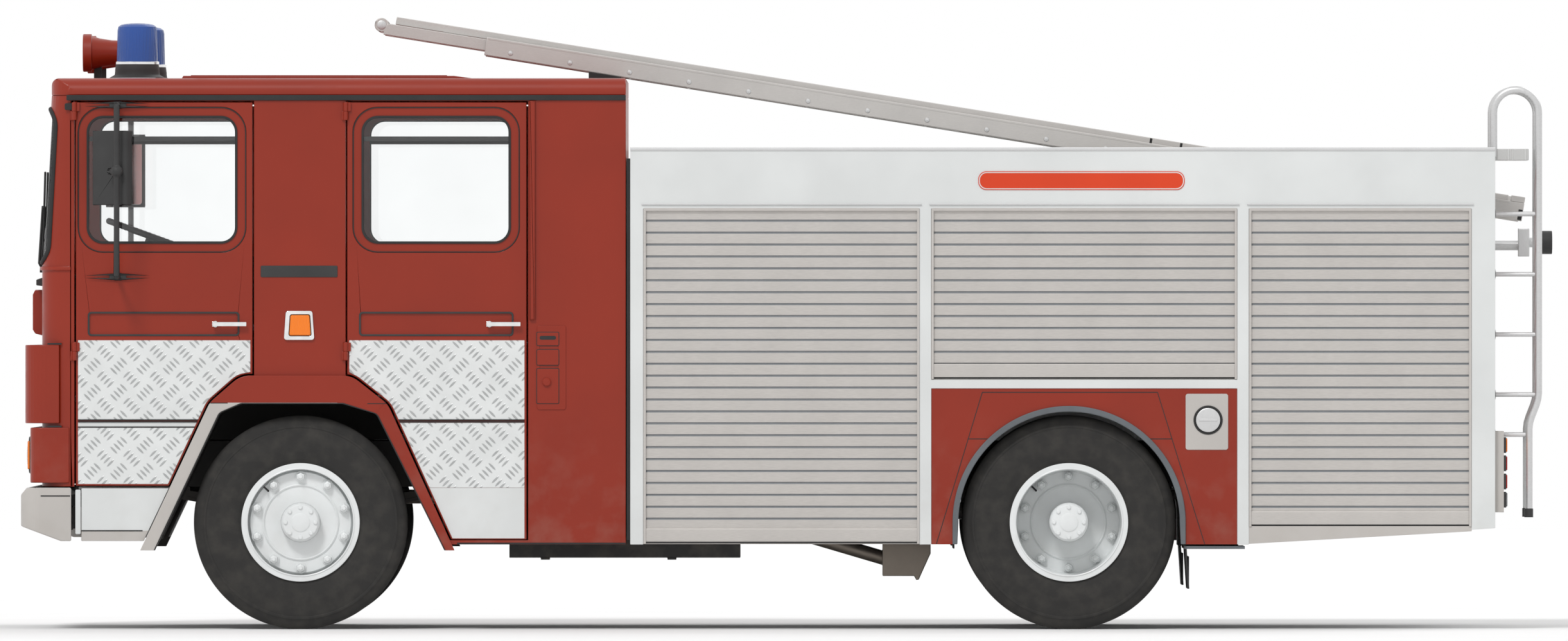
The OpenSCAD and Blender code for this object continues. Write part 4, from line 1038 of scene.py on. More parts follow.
@dataclass
class Door:
    """One side door with its window, plates, handle and trims."""

    end: str
    side: Side
    seal: float = 0.006
    surround: float = 0.050
    plate_t: float = 0.003
    margin: float = 0.010
    barrel: float = 0.020
    glass: tuple[Vector, Vector] = field(default_factory=lambda: (Vector(), Vector()))

    @property
    def body(self) -> str:
        """The door's body, which is also its node's name."""
        return f"{self.end}_{self.side.word}_door"

    def window(self, grow: float) -> Outline:
        """The window opening's outline, grown outwards."""
        return rectangle((self.glass[0].x - grow, self.glass[0].z - grow),
                         (self.glass[1].x + grow, self.glass[1].z + grow), 0.075 + grow, 10)

    def build(self) -> None:
        """Makes the door's pieces."""
        low, high = span(self.body)
        glass_node = f"{self.end}_{self.side.word}_glass"
        self.glass = span(glass_node)
        front, skin = self.end == "front", CAB_Y
        pane = Shape().prism(self.window(0.004), Plane.SIDE, skin - 0.024, skin - 0.018)
        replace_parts(pane.on(self.side).piece(glass_node + "_pane", self.body, CLEAR), glass_node)
        x0, x1 = low.x + self.margin, high.x - self.barrel - self.margin
        bar = (self.glass[0].x - 0.01, self.glass[1].x + 0.01), (2.40, 2.45)
        recess = (low.x + 0.070, high.x - 0.084), (1.45, 1.567)
        recast(self.body, RED, 0.0025, [
            (PLASTIC, lambda p, n: across(*bar)(p, n) and abs(p.y) < skin - 0.027),
            (CHROME, lambda p, n: across(*recess)(p, n) and abs(p.y) > skin + 0.0005),
            (RED, lambda p, n: abs(p.y) > skin + 0.0005)])
        seals = Shape()
        seals.prism(self.window(self.seal), Plane.SIDE, skin - 0.019, skin + 0.001, self.window(-self.seal))
        seals.prism(self.window(0.004), Plane.SIDE, skin - 0.032, skin - 0.024, self.window(-self.seal))
        seals.prism(self.window(self.surround - 0.0005), Plane.SIDE, skin - 0.006, skin + 0.0005,
                    self.window(self.surround - 0.0055))
        seals.on(self.side).piece(self.body + "_seals", self.body, SEAL, 0.0012)
        near, far = (x0, x1) if front else (x1, x0)
        bead_low = 0.996 if front else 1.021
        plates = Shape()
        for z0, z1 in ((1.037, 1.428), (low.z + 0.008 if front else 0.700, bead_low)):
            plates.prism(ARCH.beside(z0, z1, near, far, 0.018), Plane.SIDE, skin - 0.001, skin + self.plate_t)
        plates.on(self.side).piece(self.body + "_plates", self.body, DOOR_PLATE, 0.001)
        strips = Shape()
        for z in (1.0225, 1.0315):
            strips.prism(ARCH.beside(z, z + 0.0055, near, far, 0.018), Plane.SIDE, skin - 0.001, skin + 0.007)
        if front:
            strips.prism(ARCH.beside(0.9965, 1.002, near, far, 0.018), Plane.SIDE, skin - 0.001, skin + 0.005)
        strips.on(self.side).piece(self.body + "_strips", self.body, SEAL, 0.0015)
        edge = Shape().prism(ARCH.beside(1.0015, 1.0225, near, far, 0.018) if front else
                             ARCH.beside(low.z + 0.004, 0.699, near, far, 0.018), Plane.SIDE, skin - 0.001, skin + 0.002)
        edge.on(self.side).piece(self.body + "_lower_panel", self.body, PALE, 0.001)
        self.build_handle(low, high, skin)

    def build_handle(self, low: Vector, high: Vector, skin: float) -> None:
        """Makes the handle's surround, and the card and pull inside the door."""
        dish = rectangle((low.x + 0.064, 1.449), (high.x - 0.078, 1.569), 0.018)
        hole = rectangle((low.x + 0.073, 1.458), (high.x - 0.087, 1.560), 0.012)
        Shape().prism(dish, Plane.SIDE, skin - 0.004, skin + 0.0035, hole).on(self.side).piece(
            self.body + "_handle_surround", self.body, PLASTIC, 0.0015)
        x0, x1 = low.x + 0.42, high.x - 0.11
        inside = CAB_Y - 0.050
        near, far = (low.x + 0.03, high.x - 0.03) if self.end == "front" else (high.x - 0.03, low.x + 0.03)
        card = Shape().prism(ARCH.beside(1.16, 1.85, near, far, 0.05), Plane.SIDE, inside - 0.004, inside + 0.001)
        card.on(self.side).piece(self.body + "_card", self.body, PLASTIC, 0.002)
        pull = Shape().tube([(x0, inside, 1.62), (x0, inside - 0.0045, 1.62), (x1, inside - 0.0045, 1.62),
                             (x1, inside, 1.62)], 0.004, 10)
        pull.on(self.side).piece(self.body + "_pull", self.body, BARE)


@dataclass
class Mirror:
    """The outside mirrors of one side."""

    side: Side
    glass_gap: float = 0.014

    def build(self) -> None:
        """Makes the arms and the heads with their glass."""
        node = f"{self.side.word}_mirror"
        body = f"front_{self.side.word}_door"
        recast(node, PLASTIC, 0.006)
        self.build_glass(node, body)

    def build_glass(self, node: str, body: str) -> None:
        """Lays the mirror's glass on the largest flat face of the CAD's head that looks back or inwards."""
        faces = [p for p in frame["nodes"][node].data.polygons
                 if p.normal.y * self.side.value < 0.9 and abs(p.normal.z) < 0.1 and p.center.z > 2.05]
        groups: dict[tuple[float, float, float], list[bpy.types.MeshPolygon]] = {}
        for p in faces:
            key = (round(p.normal.x, 2), round(p.normal.y, 2), round(p.normal.dot(p.center), 3))
            groups.setdefault(key, []).append(p)
        best = max(groups.values(), key=lambda g: sum(p.area for p in g) * (1 if g[0].normal.x < -0.2 else 0.01))
        normal = best[0].normal.copy()
        mesh = frame["nodes"][node].data
        spots = [mesh.vertices[i].co for p in best for i in p.vertices]
        level = Vector((-normal.y, normal.x, 0.0)).normalized()
        middle = sum(spots, Vector()) / len(spots)
        us, zs = [(s - middle).dot(level) for s in spots], [s.z for s in spots]
        gap = self.glass_gap
        plane = Matrix((level, normal, Vector((0, 0, 1)))).transposed().to_4x4()
        base = middle - Vector((0, 0, middle.z)) - ORIGIN
        for name, finish, inset, out in (("rim", SEAL, gap * 0.5, 0.003), ("glass", MIRROR, gap, 0.0045)):
            outline = rectangle((min(us) + inset, min(zs) + inset), (max(us) - inset, max(zs) - inset), 0.016)
            shape = Shape().prism(outline, Plane.SIDE, -0.002, out).copy(Matrix.Translation(base) @ plane)
            shape.piece(f"{node}_{name}", body, finish, 0.001)


# ---------------------------------------------------------------- cab


@dataclass
class CabSide:
    """Trims, lamps and inlets on one outer side of the cab."""

    side: Side

    def trim(self, name: str, shape: Shape, finish: Finish, bevel: float = 0.002) -> None:
        """Puts a trim on this side of the cab."""
        shape.on(self.side).piece(f"{self.side.word}_{name}", "root", finish, bevel)

    def build(self) -> None:
        """Makes the side's trims."""
        y = CAB_Y
        self.trim("badge_plate", Shape().prism(rectangle((-0.184, 1.740), (0.196, 1.797), 0.006), Plane.SIDE, y - 0.001,
                                               y + 0.004), PLASTIC)
        lens = [(-0.054, 1.450), (0.057, 1.450), (0.050, 1.555), (-0.047, 1.555)]
        rim = [(-0.070, 1.429), (0.082, 1.429), (0.072, 1.574), (-0.060, 1.574)]
        self.trim("marker_bezel", Shape().prism(rounded(rim, 0.014), Plane.SIDE, y - 0.001, y + 0.012,
                                                rounded(lens, 0.010)), CHROME, 0.003)
        mid = [(-0.052, 1.452), (0.055, 1.452), (0.048, 1.553), (-0.045, 1.553)]
        self.trim("marker_gasket", Shape().prism(rounded(lens, 0.010), Plane.SIDE, y - 0.001, y + 0.013,
                                                 rounded(mid, 0.008)), SEAL, 0.0008)
        self.trim("marker_lens", Shape().prism(rounded(mid, 0.008), Plane.SIDE, y, y + 0.017), AMBER, 0.005)
        self.trim("rear_rail", Shape().prism(rectangle((-1.161, 1.529), (-1.132, 2.612), 0.004), Plane.SIDE, y - 0.001,
                                             y + 0.018), RED, 0.006)
        self.build_inlet(y)
        self.build_arch(y)
        self.build_lower(y)
        self.build_joints(y)

    def build_inlet(self, y: float) -> None:
        """Makes the panel behind the rear door, with its louvres and knob."""
        self.trim("inlet_frame", Shape().prism(rectangle((-1.313, 1.085), (-1.170, 1.501), 0.012), Plane.SIDE, y - 0.001,
                                               y + 0.004, rectangle((-1.275, 1.115), (-1.182, 1.466), 0.006)), RED)
        self.trim("inlet_back", Shape().box((-1.275, y - 0.001, 1.115), (-1.182, y + 0.0008, 1.466)), RED, 0.0)
        lines, lids = Shape(), Shape()
        for z0, z1 in ((1.400, 1.470), (1.303, 1.384), (1.113, 1.291)):
            lids.prism(rectangle((-1.277, z0 + 0.003), (-1.170, z1 - 0.003), 0.006), Plane.SIDE, y, y + 0.006)
            lines.prism(rectangle((-1.280, z0), (-1.167, z1), 0.008), Plane.SIDE, y, y + 0.0048)
        lines.prism(rectangle((-1.264, 1.431), (-1.183, 1.450), 0.009), Plane.SIDE, y + 0.005, y + 0.0068)
        self.trim("inlet_lids", lids, RED, 0.0015)
        self.trim("inlet_gaps", lines, SEAL, 0.0)
        self.trim("inlet_knob", Shape().turned([(0.021, 0.0), (0.021, 0.010), (0.017, 0.014), (0.0, 0.015)],
                                               (-1.218, y + 0.005, 1.222), Axis.Y, 32), RED, 0.0)

    def build_arch(self, y: float) -> None:
        """Makes the arch's rubber edge and the dark lines where its panels meet."""
        lip = ARCH.line(0.0, ARCH.inner, 0.040)
        wide = ARCH.line(0.006, ARCH.inner, 0.044)
        points = [p for p in lip] + [p for p in reversed(wide)]
        self.trim("arch_edge", Shape().prism(points, Plane.SIDE, y + 0.015, y + 0.0285), SEAL, 0.002)
        joint = Shape()
        for sign, z in ((1, 1.118), (-1, 1.115)):
            outer, inner = ARCH.leg(z, sign, 0.002), ARCH.leg(z, sign, -0.055)
            joint.prism(rectangle((min(outer, inner), z - 0.002), (max(outer, inner), z + 0.002)), Plane.SIDE,
                        y + 0.02, y + 0.0255)
        self.trim("arch_joints", joint, SEAL, 0.0)

    def build_lower(self, y: float) -> None:
        """Makes the lamp strip, the steps' treads and the sill's edge."""
        self.trim("step_tread", Shape().box((0.80, y - 0.060, 0.4505), (1.075, y - 0.004, 0.4545)), FLOOR_PLATE, 0.001)
        self.trim("lamp_strip", Shape().prism(rectangle((1.086, 0.470), (1.112, 0.690), 0.006), Plane.SIDE, y - 0.001,
                                              y + 0.006), PALE)
        self.trim("sill_edge", Shape().box((-1.609, y - 0.001, 0.4195), (-0.775, y + 0.004, 0.428)), SEAL, 0.001)
        self.trim("step_line", Shape().box((0.78, y - 0.001, 0.484), (1.083, y + 0.0015, 0.490)), SEAL, 0.0)

    def build_joints(self, y: float) -> None:
        """Makes the wiper's box at the foot of the front pillar."""
        box = Shape().prism(rectangle((1.115, 2.566), (1.165, 2.600), 0.008), Plane.SIDE, y - 0.001, y + 0.006)
        self.trim("pillar_cap", box, SEAL)


@dataclass
class CabShell:
    """The cab's own panels, its windscreen and the fittings on its front."""

    lean: float = math.radians(3.2)
    sill: float = 1.790
    rubber: float = 0.020
    nose_r: float = 0.140
    lamp_y: tuple[float, float] = (0.640, 0.850)
    lamp_z: float = 0.860
    lamp_r: float = 0.082
    nose: float = 0.0
    top: float = 0.0

    def leaning(self) -> Matrix:
        """Moves a shape drawn upright from the windscreen's sill into the leaning front."""
        return Matrix.Translation((self.nose, 0, self.sill)) @ Matrix.Rotation(-self.lean, 4, "Y")

    def build(self) -> None:
        """Makes the shell and what is fixed to it."""
        self.nose = span("cab_front")[1].x - 0.010
        self.top = span("cab_roof")[0].z
        recast("cab_sides", RED, 0.0025, [
            (SEAL, lambda p, n: abs(p.y) > CAB_Y + 0.0005 and p.z > self.top - 0.030)])
        recast("cab_roof", RED, 0.004)
        recast("cab_rear_wall", RED, 0.002)
        recast("cab_front", RED, 0.003)
        recast("cab_floor", FLOOR_PLATE, 0.003, [
            (WARM, lambda p, n: abs(p.y) > CAB_Y - 0.031 and p.z < 0.487 and abs(n.y) > 0.5),
            (PALE, lambda p, n: abs(p.y) > 0.6 and p.z < 0.80 and p.x - ORIGIN.x > 0.72 and abs(n.y) > 0.5),
            (PLASTIC, lambda p, n: abs(p.y) < 0.3805 and p.z > 1.151 and -0.1 < p.x - ORIGIN.x < 1.0),
            (CHASSIS, lambda p, n: abs(n.z) < 0.5)], cuts=[((0.0, 0.0, 0.487), (0, 0, 1))])
        recast("wheel_arches", LINER, 0.002, [
            (WARM, lambda p, n: abs(p.y) > CAB_Y + 0.0003 and p.z < 1.120 and p.x > ORIGIN.x),
            (RED, lambda p, n: abs(p.y) > CAB_Y + 0.0003)], cuts=[((0.0, 0.0, 1.120), (0, 0, 1))])
        glass = recast("windscreen", CLEAR, 0.0)
        glass.name = "windscreen_glass"
        self.build_screen()
        self.build_panels()
        self.build_bumper()
        self.build_roof_trims()

    def screen_loop(self, inset: float, out: float) -> list[Vector]:
        """Points round the windscreen's opening, on the leaning front.

        Args:
            inset: How far inside the opening.
            out: How far in front of the panel.

        Returns:
            The loop's points.
        """
        half = CAB_Y - 0.048 - inset
        low, high = 0.020 + inset, self.top - self.sill - 0.066 - inset
        flat = CAB_Y - self.nose_r
        place, made = self.leaning(), []
        for y, z in rectangle((-half, low), (half, high), 0.095 - inset, 10):
            more = max(0.0, abs(y) - flat)
            r = self.nose_r + out
            depth = math.sqrt(max(0.0, r * r - more * more)) - self.nose_r if more else out
            made.append(place @ Vector((depth, y, z)))
        return made

    def build_screen(self) -> None:
        """Makes the windscreen's rubber, its middle bar, the wipers and their box."""
        loop = self.screen_loop(0.002, -0.001)
        dense: list[Vector] = []
        for a, b in zip(loop, loop[1:] + loop[:1]):
            n = max(1, int((b - a).length / 0.03))
            dense += [a.lerp(b, k / n) for k in range(n)]
        flat = CAB_Y - self.nose_r
        place = self.leaning()
        back = place.inverted()
        bent = []
        for p in dense:
            q = back @ p
            more = max(0.0, abs(q.y) - flat)
            q.x = math.sqrt(max(0.0, self.nose_r ** 2 - more * more)) - self.nose_r
            bent.append(place @ q)
        Shape().tube(bent, 0.013, 12, closed=True).piece("windscreen_rubber", "root", SEAL)
        bar = Shape().rod(place @ Vector((0.001, 0, 0.02)), place @ Vector((0.001, 0, 0.765)), 0.012)
        bar.piece("windscreen_bar", "root", SEAL)
        lines = Shape()
        for z0, z1 in ((-0.031, -0.015), (0.772, 0.810)):
            for s in (-1, 1):
                lines.box((self.nose - 0.072 - 0.03 * (z0 > 0), s * CAB_Y - 0.001 * s, self.sill + z0),
                          (self.nose - 0.024 - 0.03 * (z0 > 0), s * (CAB_Y + 0.0015), self.sill + z1))
        arms, blades = Shape(), Shape()
        for y0, y1 in ((-0.62, -0.12), (0.28, 0.78), (-0.10, 0.26)):
            root = Vector((0.020, y0, -0.010))
            tip = Vector((0.014, (y0 + y1) / 2 + 0.08, 0.30))
            arms.tube([place @ root, place @ (root + Vector((0.016, 0.01, 0.03))), place @ (tip + Vector((0.012, 0, 0)))],
                      0.006, 10)
            arms.rod(place @ (root + Vector((-0.03, 0, 0))), place @ (root + Vector((0.012, 0, 0))), 0.017)
            blades.rod(place @ (tip + Vector((0.004, -0.17, -0.17))), place @ (tip + Vector((0.004, 0.17, 0.17))), 0.0055, 10)
        arms.piece("wiper_arms", "root", PLASTIC)
        blades.piece("wiper_blades", "root", SEAL)
        tray = Shape().prism([(self.nose - 0.01, 1.695), (self.nose + 0.032, 1.700), (self.nose + 0.032, 1.728),
                              (self.nose - 0.01, 1.742)], Plane.SIDE, -0.95, 0.95)
        tray.piece("wiper_tray", "root", PLASTIC, 0.004)

    def build_panels(self) -> None:
        """Makes the grille, the vent panel's slots, the lamps and the blank plate."""
        nose = self.nose
        dark_slot = lambda p, n: abs(p.y) < 0.7605 and 1.061 < p.z < 1.362 and p.x - ORIGIN.x < nose + 0.0815
        recast("front_panels", RED, 0.004, [(PLASTIC, dark_slot)])
        mesh = Shape()
        for k in range(38):
            y = -0.74 + k * 0.04
            mesh.rod((nose + 0.030, y, 1.064), (nose + 0.030, y, 1.359), 0.0035, 8)
        mesh.piece("grille_mesh", "root", CHASSIS)
        edge = rectangle((-0.766, 1.056), (0.766, 1.367), 0.012)
        hole = rectangle((-0.756, 1.066), (0.756, 1.357), 0.006)
        Shape().prism(edge, Plane.FRONT, nose + 0.080, nose + 0.086, hole).piece("grille_frame", "root", CHROME, 0.002)
        slots = Shape()
        for k in range(3):
            slots.prism(rectangle((-0.80, 1.497 + k * 0.052), (0.80, 1.517 + k * 0.052), 0.009), Plane.FRONT,
                        nose + 0.050, nose + 0.0535)
        slots.piece("vent_slots", "root", SEAL, 0.001)
        Shape().prism(rectangle((-0.22, 1.70), (0.22, 1.745), 0.010), Plane.FRONT, nose - 0.004, nose + 0.006).piece(
            "front_badge", "root", PLASTIC, 0.002)
        lines = Shape()
        for s in (-1, 1):
            for z in (0.9985, 1.4065):
                lines.box((nose - 0.10, s * (CAB_Y - 0.001), z), (nose - 0.03, s * (CAB_Y + 0.007), z + 0.008))
        lines.piece("panel_gaps", "root", SEAL)
        self.build_lamps(nose + 0.056)

    def build_lamps(self, x: float) -> None:
        """Makes the headlamps and the corner indicators.

        Args:
            x: The lamp panel's front face.
        """
        r = self.lamp_r
        bezel, bowl, lens, bulbs = Shape(), Shape(), Shape(), Shape()
        for s in (-1, 1):
            for y in self.lamp_y:
                spot = (x, s * y, self.lamp_z)
                bezel.turned([(r + 0.012, -0.001), (r + 0.012, 0.006), (r + 0.006, 0.014), (r - 0.002, 0.015),
                              (r - 0.004, 0.004), (r - 0.004, -0.001), (r + 0.012, -0.001)], spot, Axis.X, 64)
                bowl.turned([(r - 0.004, 0.009), (0.060, 0.0045), (0.030, 0.0015), (0.0, 0.0008)], spot, Axis.X, 56)
                lens.turned([(r - 0.004, 0.011), (0.066, 0.0185), (0.045, 0.0225), (0.022, 0.0248), (0.0, 0.0255),
                             (0.0, 0.0235), (0.022, 0.0228), (0.045, 0.0205), (0.066, 0.0165), (r - 0.004, 0.0092),
                             (r - 0.004, 0.011)], spot, Axis.X, 56)
                bulbs.turned([(0.010, 0.001), (0.010, 0.012), (0.006, 0.016), (0.0, 0.017)], spot, Axis.X, 20)
        lens.piece("headlamp_lenses", "root", LENS)
        skin = bowl.piece("headlamp_reflectors", "root", CHROME)
        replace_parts(skin, "headlamps")
        bezel.piece("headlamp_bezels", "root", PLASTIC)
        bulbs.piece("headlamp_bulbs", "root", CLEAR)
        for name, grow, finish, out in (("front_plate_back", 0.012, PLASTIC, 0.003), ("front_number_plate", 0.0, PALE, 0.005)):
            outline = rectangle((-0.26 - grow, 0.800 - grow), (0.26 + grow, 0.912 + grow), 0.010)
            Shape().prism(outline, Plane.FRONT, x - 0.001, x + out).piece(name, "root", finish, 0.001)
        housing, amber = Shape(), Shape()
        for s in (-1, 1):
            housing.prism(rectangle((s * 1.0 - 0.052, 0.780), (s * 1.0 + 0.052, 0.940), 0.012), Plane.FRONT,
                          x - 0.002, x + 0.006)
            amber.prism(rectangle((s * 1.0 - 0.042, 0.790), (s * 1.0 + 0.042, 0.930), 0.008), Plane.FRONT, x, x + 0.016)
        housing.piece("indicator_housings", "root", PLASTIC, 0.002)
        amber.piece("indicator_lenses", "root", AMBER, 0.004)

    def build_bumper(self) -> None:
        """Makes the bumper with its treads and seams."""
        low, high = span("front_bumper")
        recast("front_bumper", WARM, 0.005, [(CHASSIS, lambda p, n: abs(p.y) < 0.45 and p.z < 0.70 and p.x - ORIGIN.x < high.x - 0.061),
                                             (FLOOR_PLATE, lambda p, n: n.z > 0.95 and p.z > 0.699)])
        strip = Shape()
        for s in (-1, 1):
            strip.box((high.x - 0.245, s * high.y - 0.001, 0.656), (high.x - 0.10, s * high.y + 0.001, 0.662))
        strip.piece("bumper_seam", "root", SEAL)

    def build_roof_trims(self) -> None:
        """Makes the roof pad's ribs."""
        low, high = span("cab_roof")
        ribs = Shape()
        for k in range(7):
            y = -0.78 + k * 0.26
            ribs.prism(rectangle((-0.72, y - 0.010), (0.55, y + 0.010), 0.009), Plane.TOP, high.z - 0.002, high.z + 0.004)
        ribs.piece("roof_ribs", "root", RED, 0.0012)


@dataclass
class RoofSet:
    """The beacons and horns on the cab's roof."""

    ribs: int = 36

    def build(self) -> None:
        """Makes the beacons and the horns."""
        low, high = span("beacons")
        x, base = (low.x + high.x) / 2, low.z
        y = high.y - 0.138
        foot, dome, core, ring = Shape(), Shape(), Shape(), Shape()
        for s in (-1, 1):
            spot = (x, s * y, base)
            foot.turned([(0.137, 0.0), (0.137, 0.006), (0.118, 0.016), (0.112, 0.020), (0.110, 0.040), (0.1105, 0.042),
                         (0.106, 0.074), (0.098, 0.078), (0.0, 0.078)], spot, Axis.Z, 64)
            ring.turned([(0.1045, 0.070), (0.1085, 0.072), (0.1085, 0.084), (0.1045, 0.086), (0.1045, 0.070)], spot,
                        Axis.Z, 64)
            ring.turned([(0.138, 0.0), (0.138, 0.004), (0.134, 0.006), (0.130, 0.0)], spot, Axis.Z, 64)
            count = self.ribs * 4
            profile = [(0.102, 0.080), (0.101, 0.120), (0.0995, 0.180), (0.098, 0.240), (0.094, 0.258), (0.080, 0.268),
                       (0.060, 0.272), (0.030, 0.2752), (0.0, 0.276)]
            points, faces = [], []
            for i, (r, h) in enumerate(profile):
                for k in range(count):
                    t = 2 * math.pi * k / count
                    wave = 0.0012 * (k % 4 in (0, 1)) if 0 < i < 4 else 0.0
                    points.append((spot[0] + (r - wave) * math.cos(t), spot[1] + (r - wave) * math.sin(t), base + h))
            for i in range(len(profile) - 1):
                for k in range(count):
                    j = (k + 1) % count
                    faces.append((i * count + k, i * count + j, (i + 1) * count + j, (i + 1) * count + k))
            faces.append(tuple(reversed(range(count))))
            dome.add(points, faces)
        dome_piece = dome.piece("beacon_domes", "root", BLUE, crease=25)
        foot_piece = foot.piece("beacon_feet", "root", PLASTIC, crease=30)
        ring.piece("beacon_rings", "root", CHROME, crease=30)
        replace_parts(foot_piece, "beacons")
        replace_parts(dome_piece, "beacons")
        self.build_horns()

    def build_horns(self) -> None:
        """Makes the horns with open bells and their brackets."""
        low, high = span("horns")
        y, z = high.y - 0.094, high.z - 0.094
        bells, throats = Shape(), Shape()
        for s in (-1, 1):
            spot = (0.0, s * y, z)
            bells.turned([(0.0, 0.800), (0.052, 0.800), (0.066, 0.806), (0.070, 0.820), (0.070, 0.838), (0.062, 0.842),
                          (0.060, 0.880), (0.063, 0.950), (0.072, 1.010), (0.084, 1.048), (0.094, 1.052), (0.094, 1.090),
                          (0.091, 1.094), (0.082, 1.094), (0.078, 1.086), (0.074, 1.050), (0.058, 0.990), (0.045, 0.930),
                          (0.0, 0.930)], spot, Axis.X, 56)
            for x0, x1, drop in ((1.000, 1.040, 0.070), (0.840, 0.880, 0.055)):
                throats.box((x0, s * y - 0.030, z - 0.132), (x1, s * y + 0.030, z - 0.128))
                throats.box((x0, s * y - 0.004, z - 0.130), (x1, s * y + 0.004, z - drop))
            for k in range(5):
                h = -0.060 + k * 0.030
                reach = math.sqrt(0.079 ** 2 - h * h)
                throats.rod((1.088, s * y - reach, z + h), (1.088, s * y + reach, z + h), 0.0025, 8)
        piece = bells.piece("horn_bells", "root", RED, crease=30)
        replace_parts(piece, "horns")
        throats.piece("horn_brackets", "root", CHASSIS, 0.001)


# ---------------------------------------------------------------- cab inside


@dataclass(frozen=True)
class Cushion:
    """A stuffed cushion's box, how much its top swells, and where its seams run."""

    low: Point
    high: Point
    crown: float = 0.030
    channels: int = 3
    round_: float = 0.55
    steps: int = 28
    lean: float = 0.0

    def shape(self) -> tuple[Shape, Shape]:
        """The cushion and its piping.

        Returns:
            The stuffed form, and the cord sewn round its edge.
        """
        low, high = Vector(self.low), Vector(self.high)
        middle, half = (low + high) / 2, (high - low) / 2
        thin = min(range(3), key=lambda i: half[i])
        wide = [i for i in range(3) if i != thin]
        grid = bmesh.new()
        bmesh.ops.create_cube(grid, size=2.0)
        bmesh.ops.subdivide_edges(grid, edges=grid.edges, cuts=self.steps, use_grid_fill=True)
        turn = Matrix.Rotation(self.lean, 4, "Y")

        def formed(c: Vector) -> Vector:
            """Moves a point of the cube onto the cushion."""
            k, out = self.round_, Vector()
            squares = [v * v for v in c]
            for i in range(3):
                a, b = squares[(i + 1) % 3], squares[(i + 2) % 3]
                edge = 0.18 if i in wide else k
                out[i] = c[i] * math.sqrt(max(0.0, 1 - edge * (a + b) / 2 + edge * edge * a * b / 3))
            u, v = c[wide[0]], c[wide[1]]
            swell = (1 - u ** 4) * (1 - v ** 4)
            sewn = 0.0
            for n in range(1, self.channels + 1):
                line = -1 + 2 * n / (self.channels + 1)
                sewn += math.exp(-((v if half[wide[1]] > half[wide[0]] else u) - line) ** 2 / 0.0012)
            flat = out[thin] * half[thin]
            grow = self.crown * swell * (1 if c[thin] > 0 else 0.3) * (1 if abs(c[thin]) > 0.3 else 0.4)
            flat += math.copysign(grow - 0.011 * sewn * (1 - u ** 6) * (1 - v ** 6) * (c[thin] > 0), c[thin])
            made = Vector((0.0, 0.0, 0.0))
            made[thin] = flat
            for i in wide:
                pull = 1 - 0.035 * (1 - c[3 - thin - i] ** 2) * (abs(c[i]) > 0.9)
                made[i] = out[i] * half[i] * pull
            return turn @ made + middle

        body = Shape().add([formed(v.co) for v in grid.verts], [[v.index for v in f.verts] for f in grid.faces])
        grid.free()
        cord = []
        for k in range(96):
            t = 2 * math.pi * k / 96
            c = Vector((0.0, 0.0, 0.0))
            power = 0.12
            c[wide[0]] = math.copysign(abs(math.cos(t)) ** power, math.cos(t))
            c[wide[1]] = math.copysign(abs(math.sin(t)) ** power, math.sin(t))
            c[thin] = 0.86
            cord.append(formed(c))
        return body, Shape().tube(cord, 0.0035, 8, closed=True)


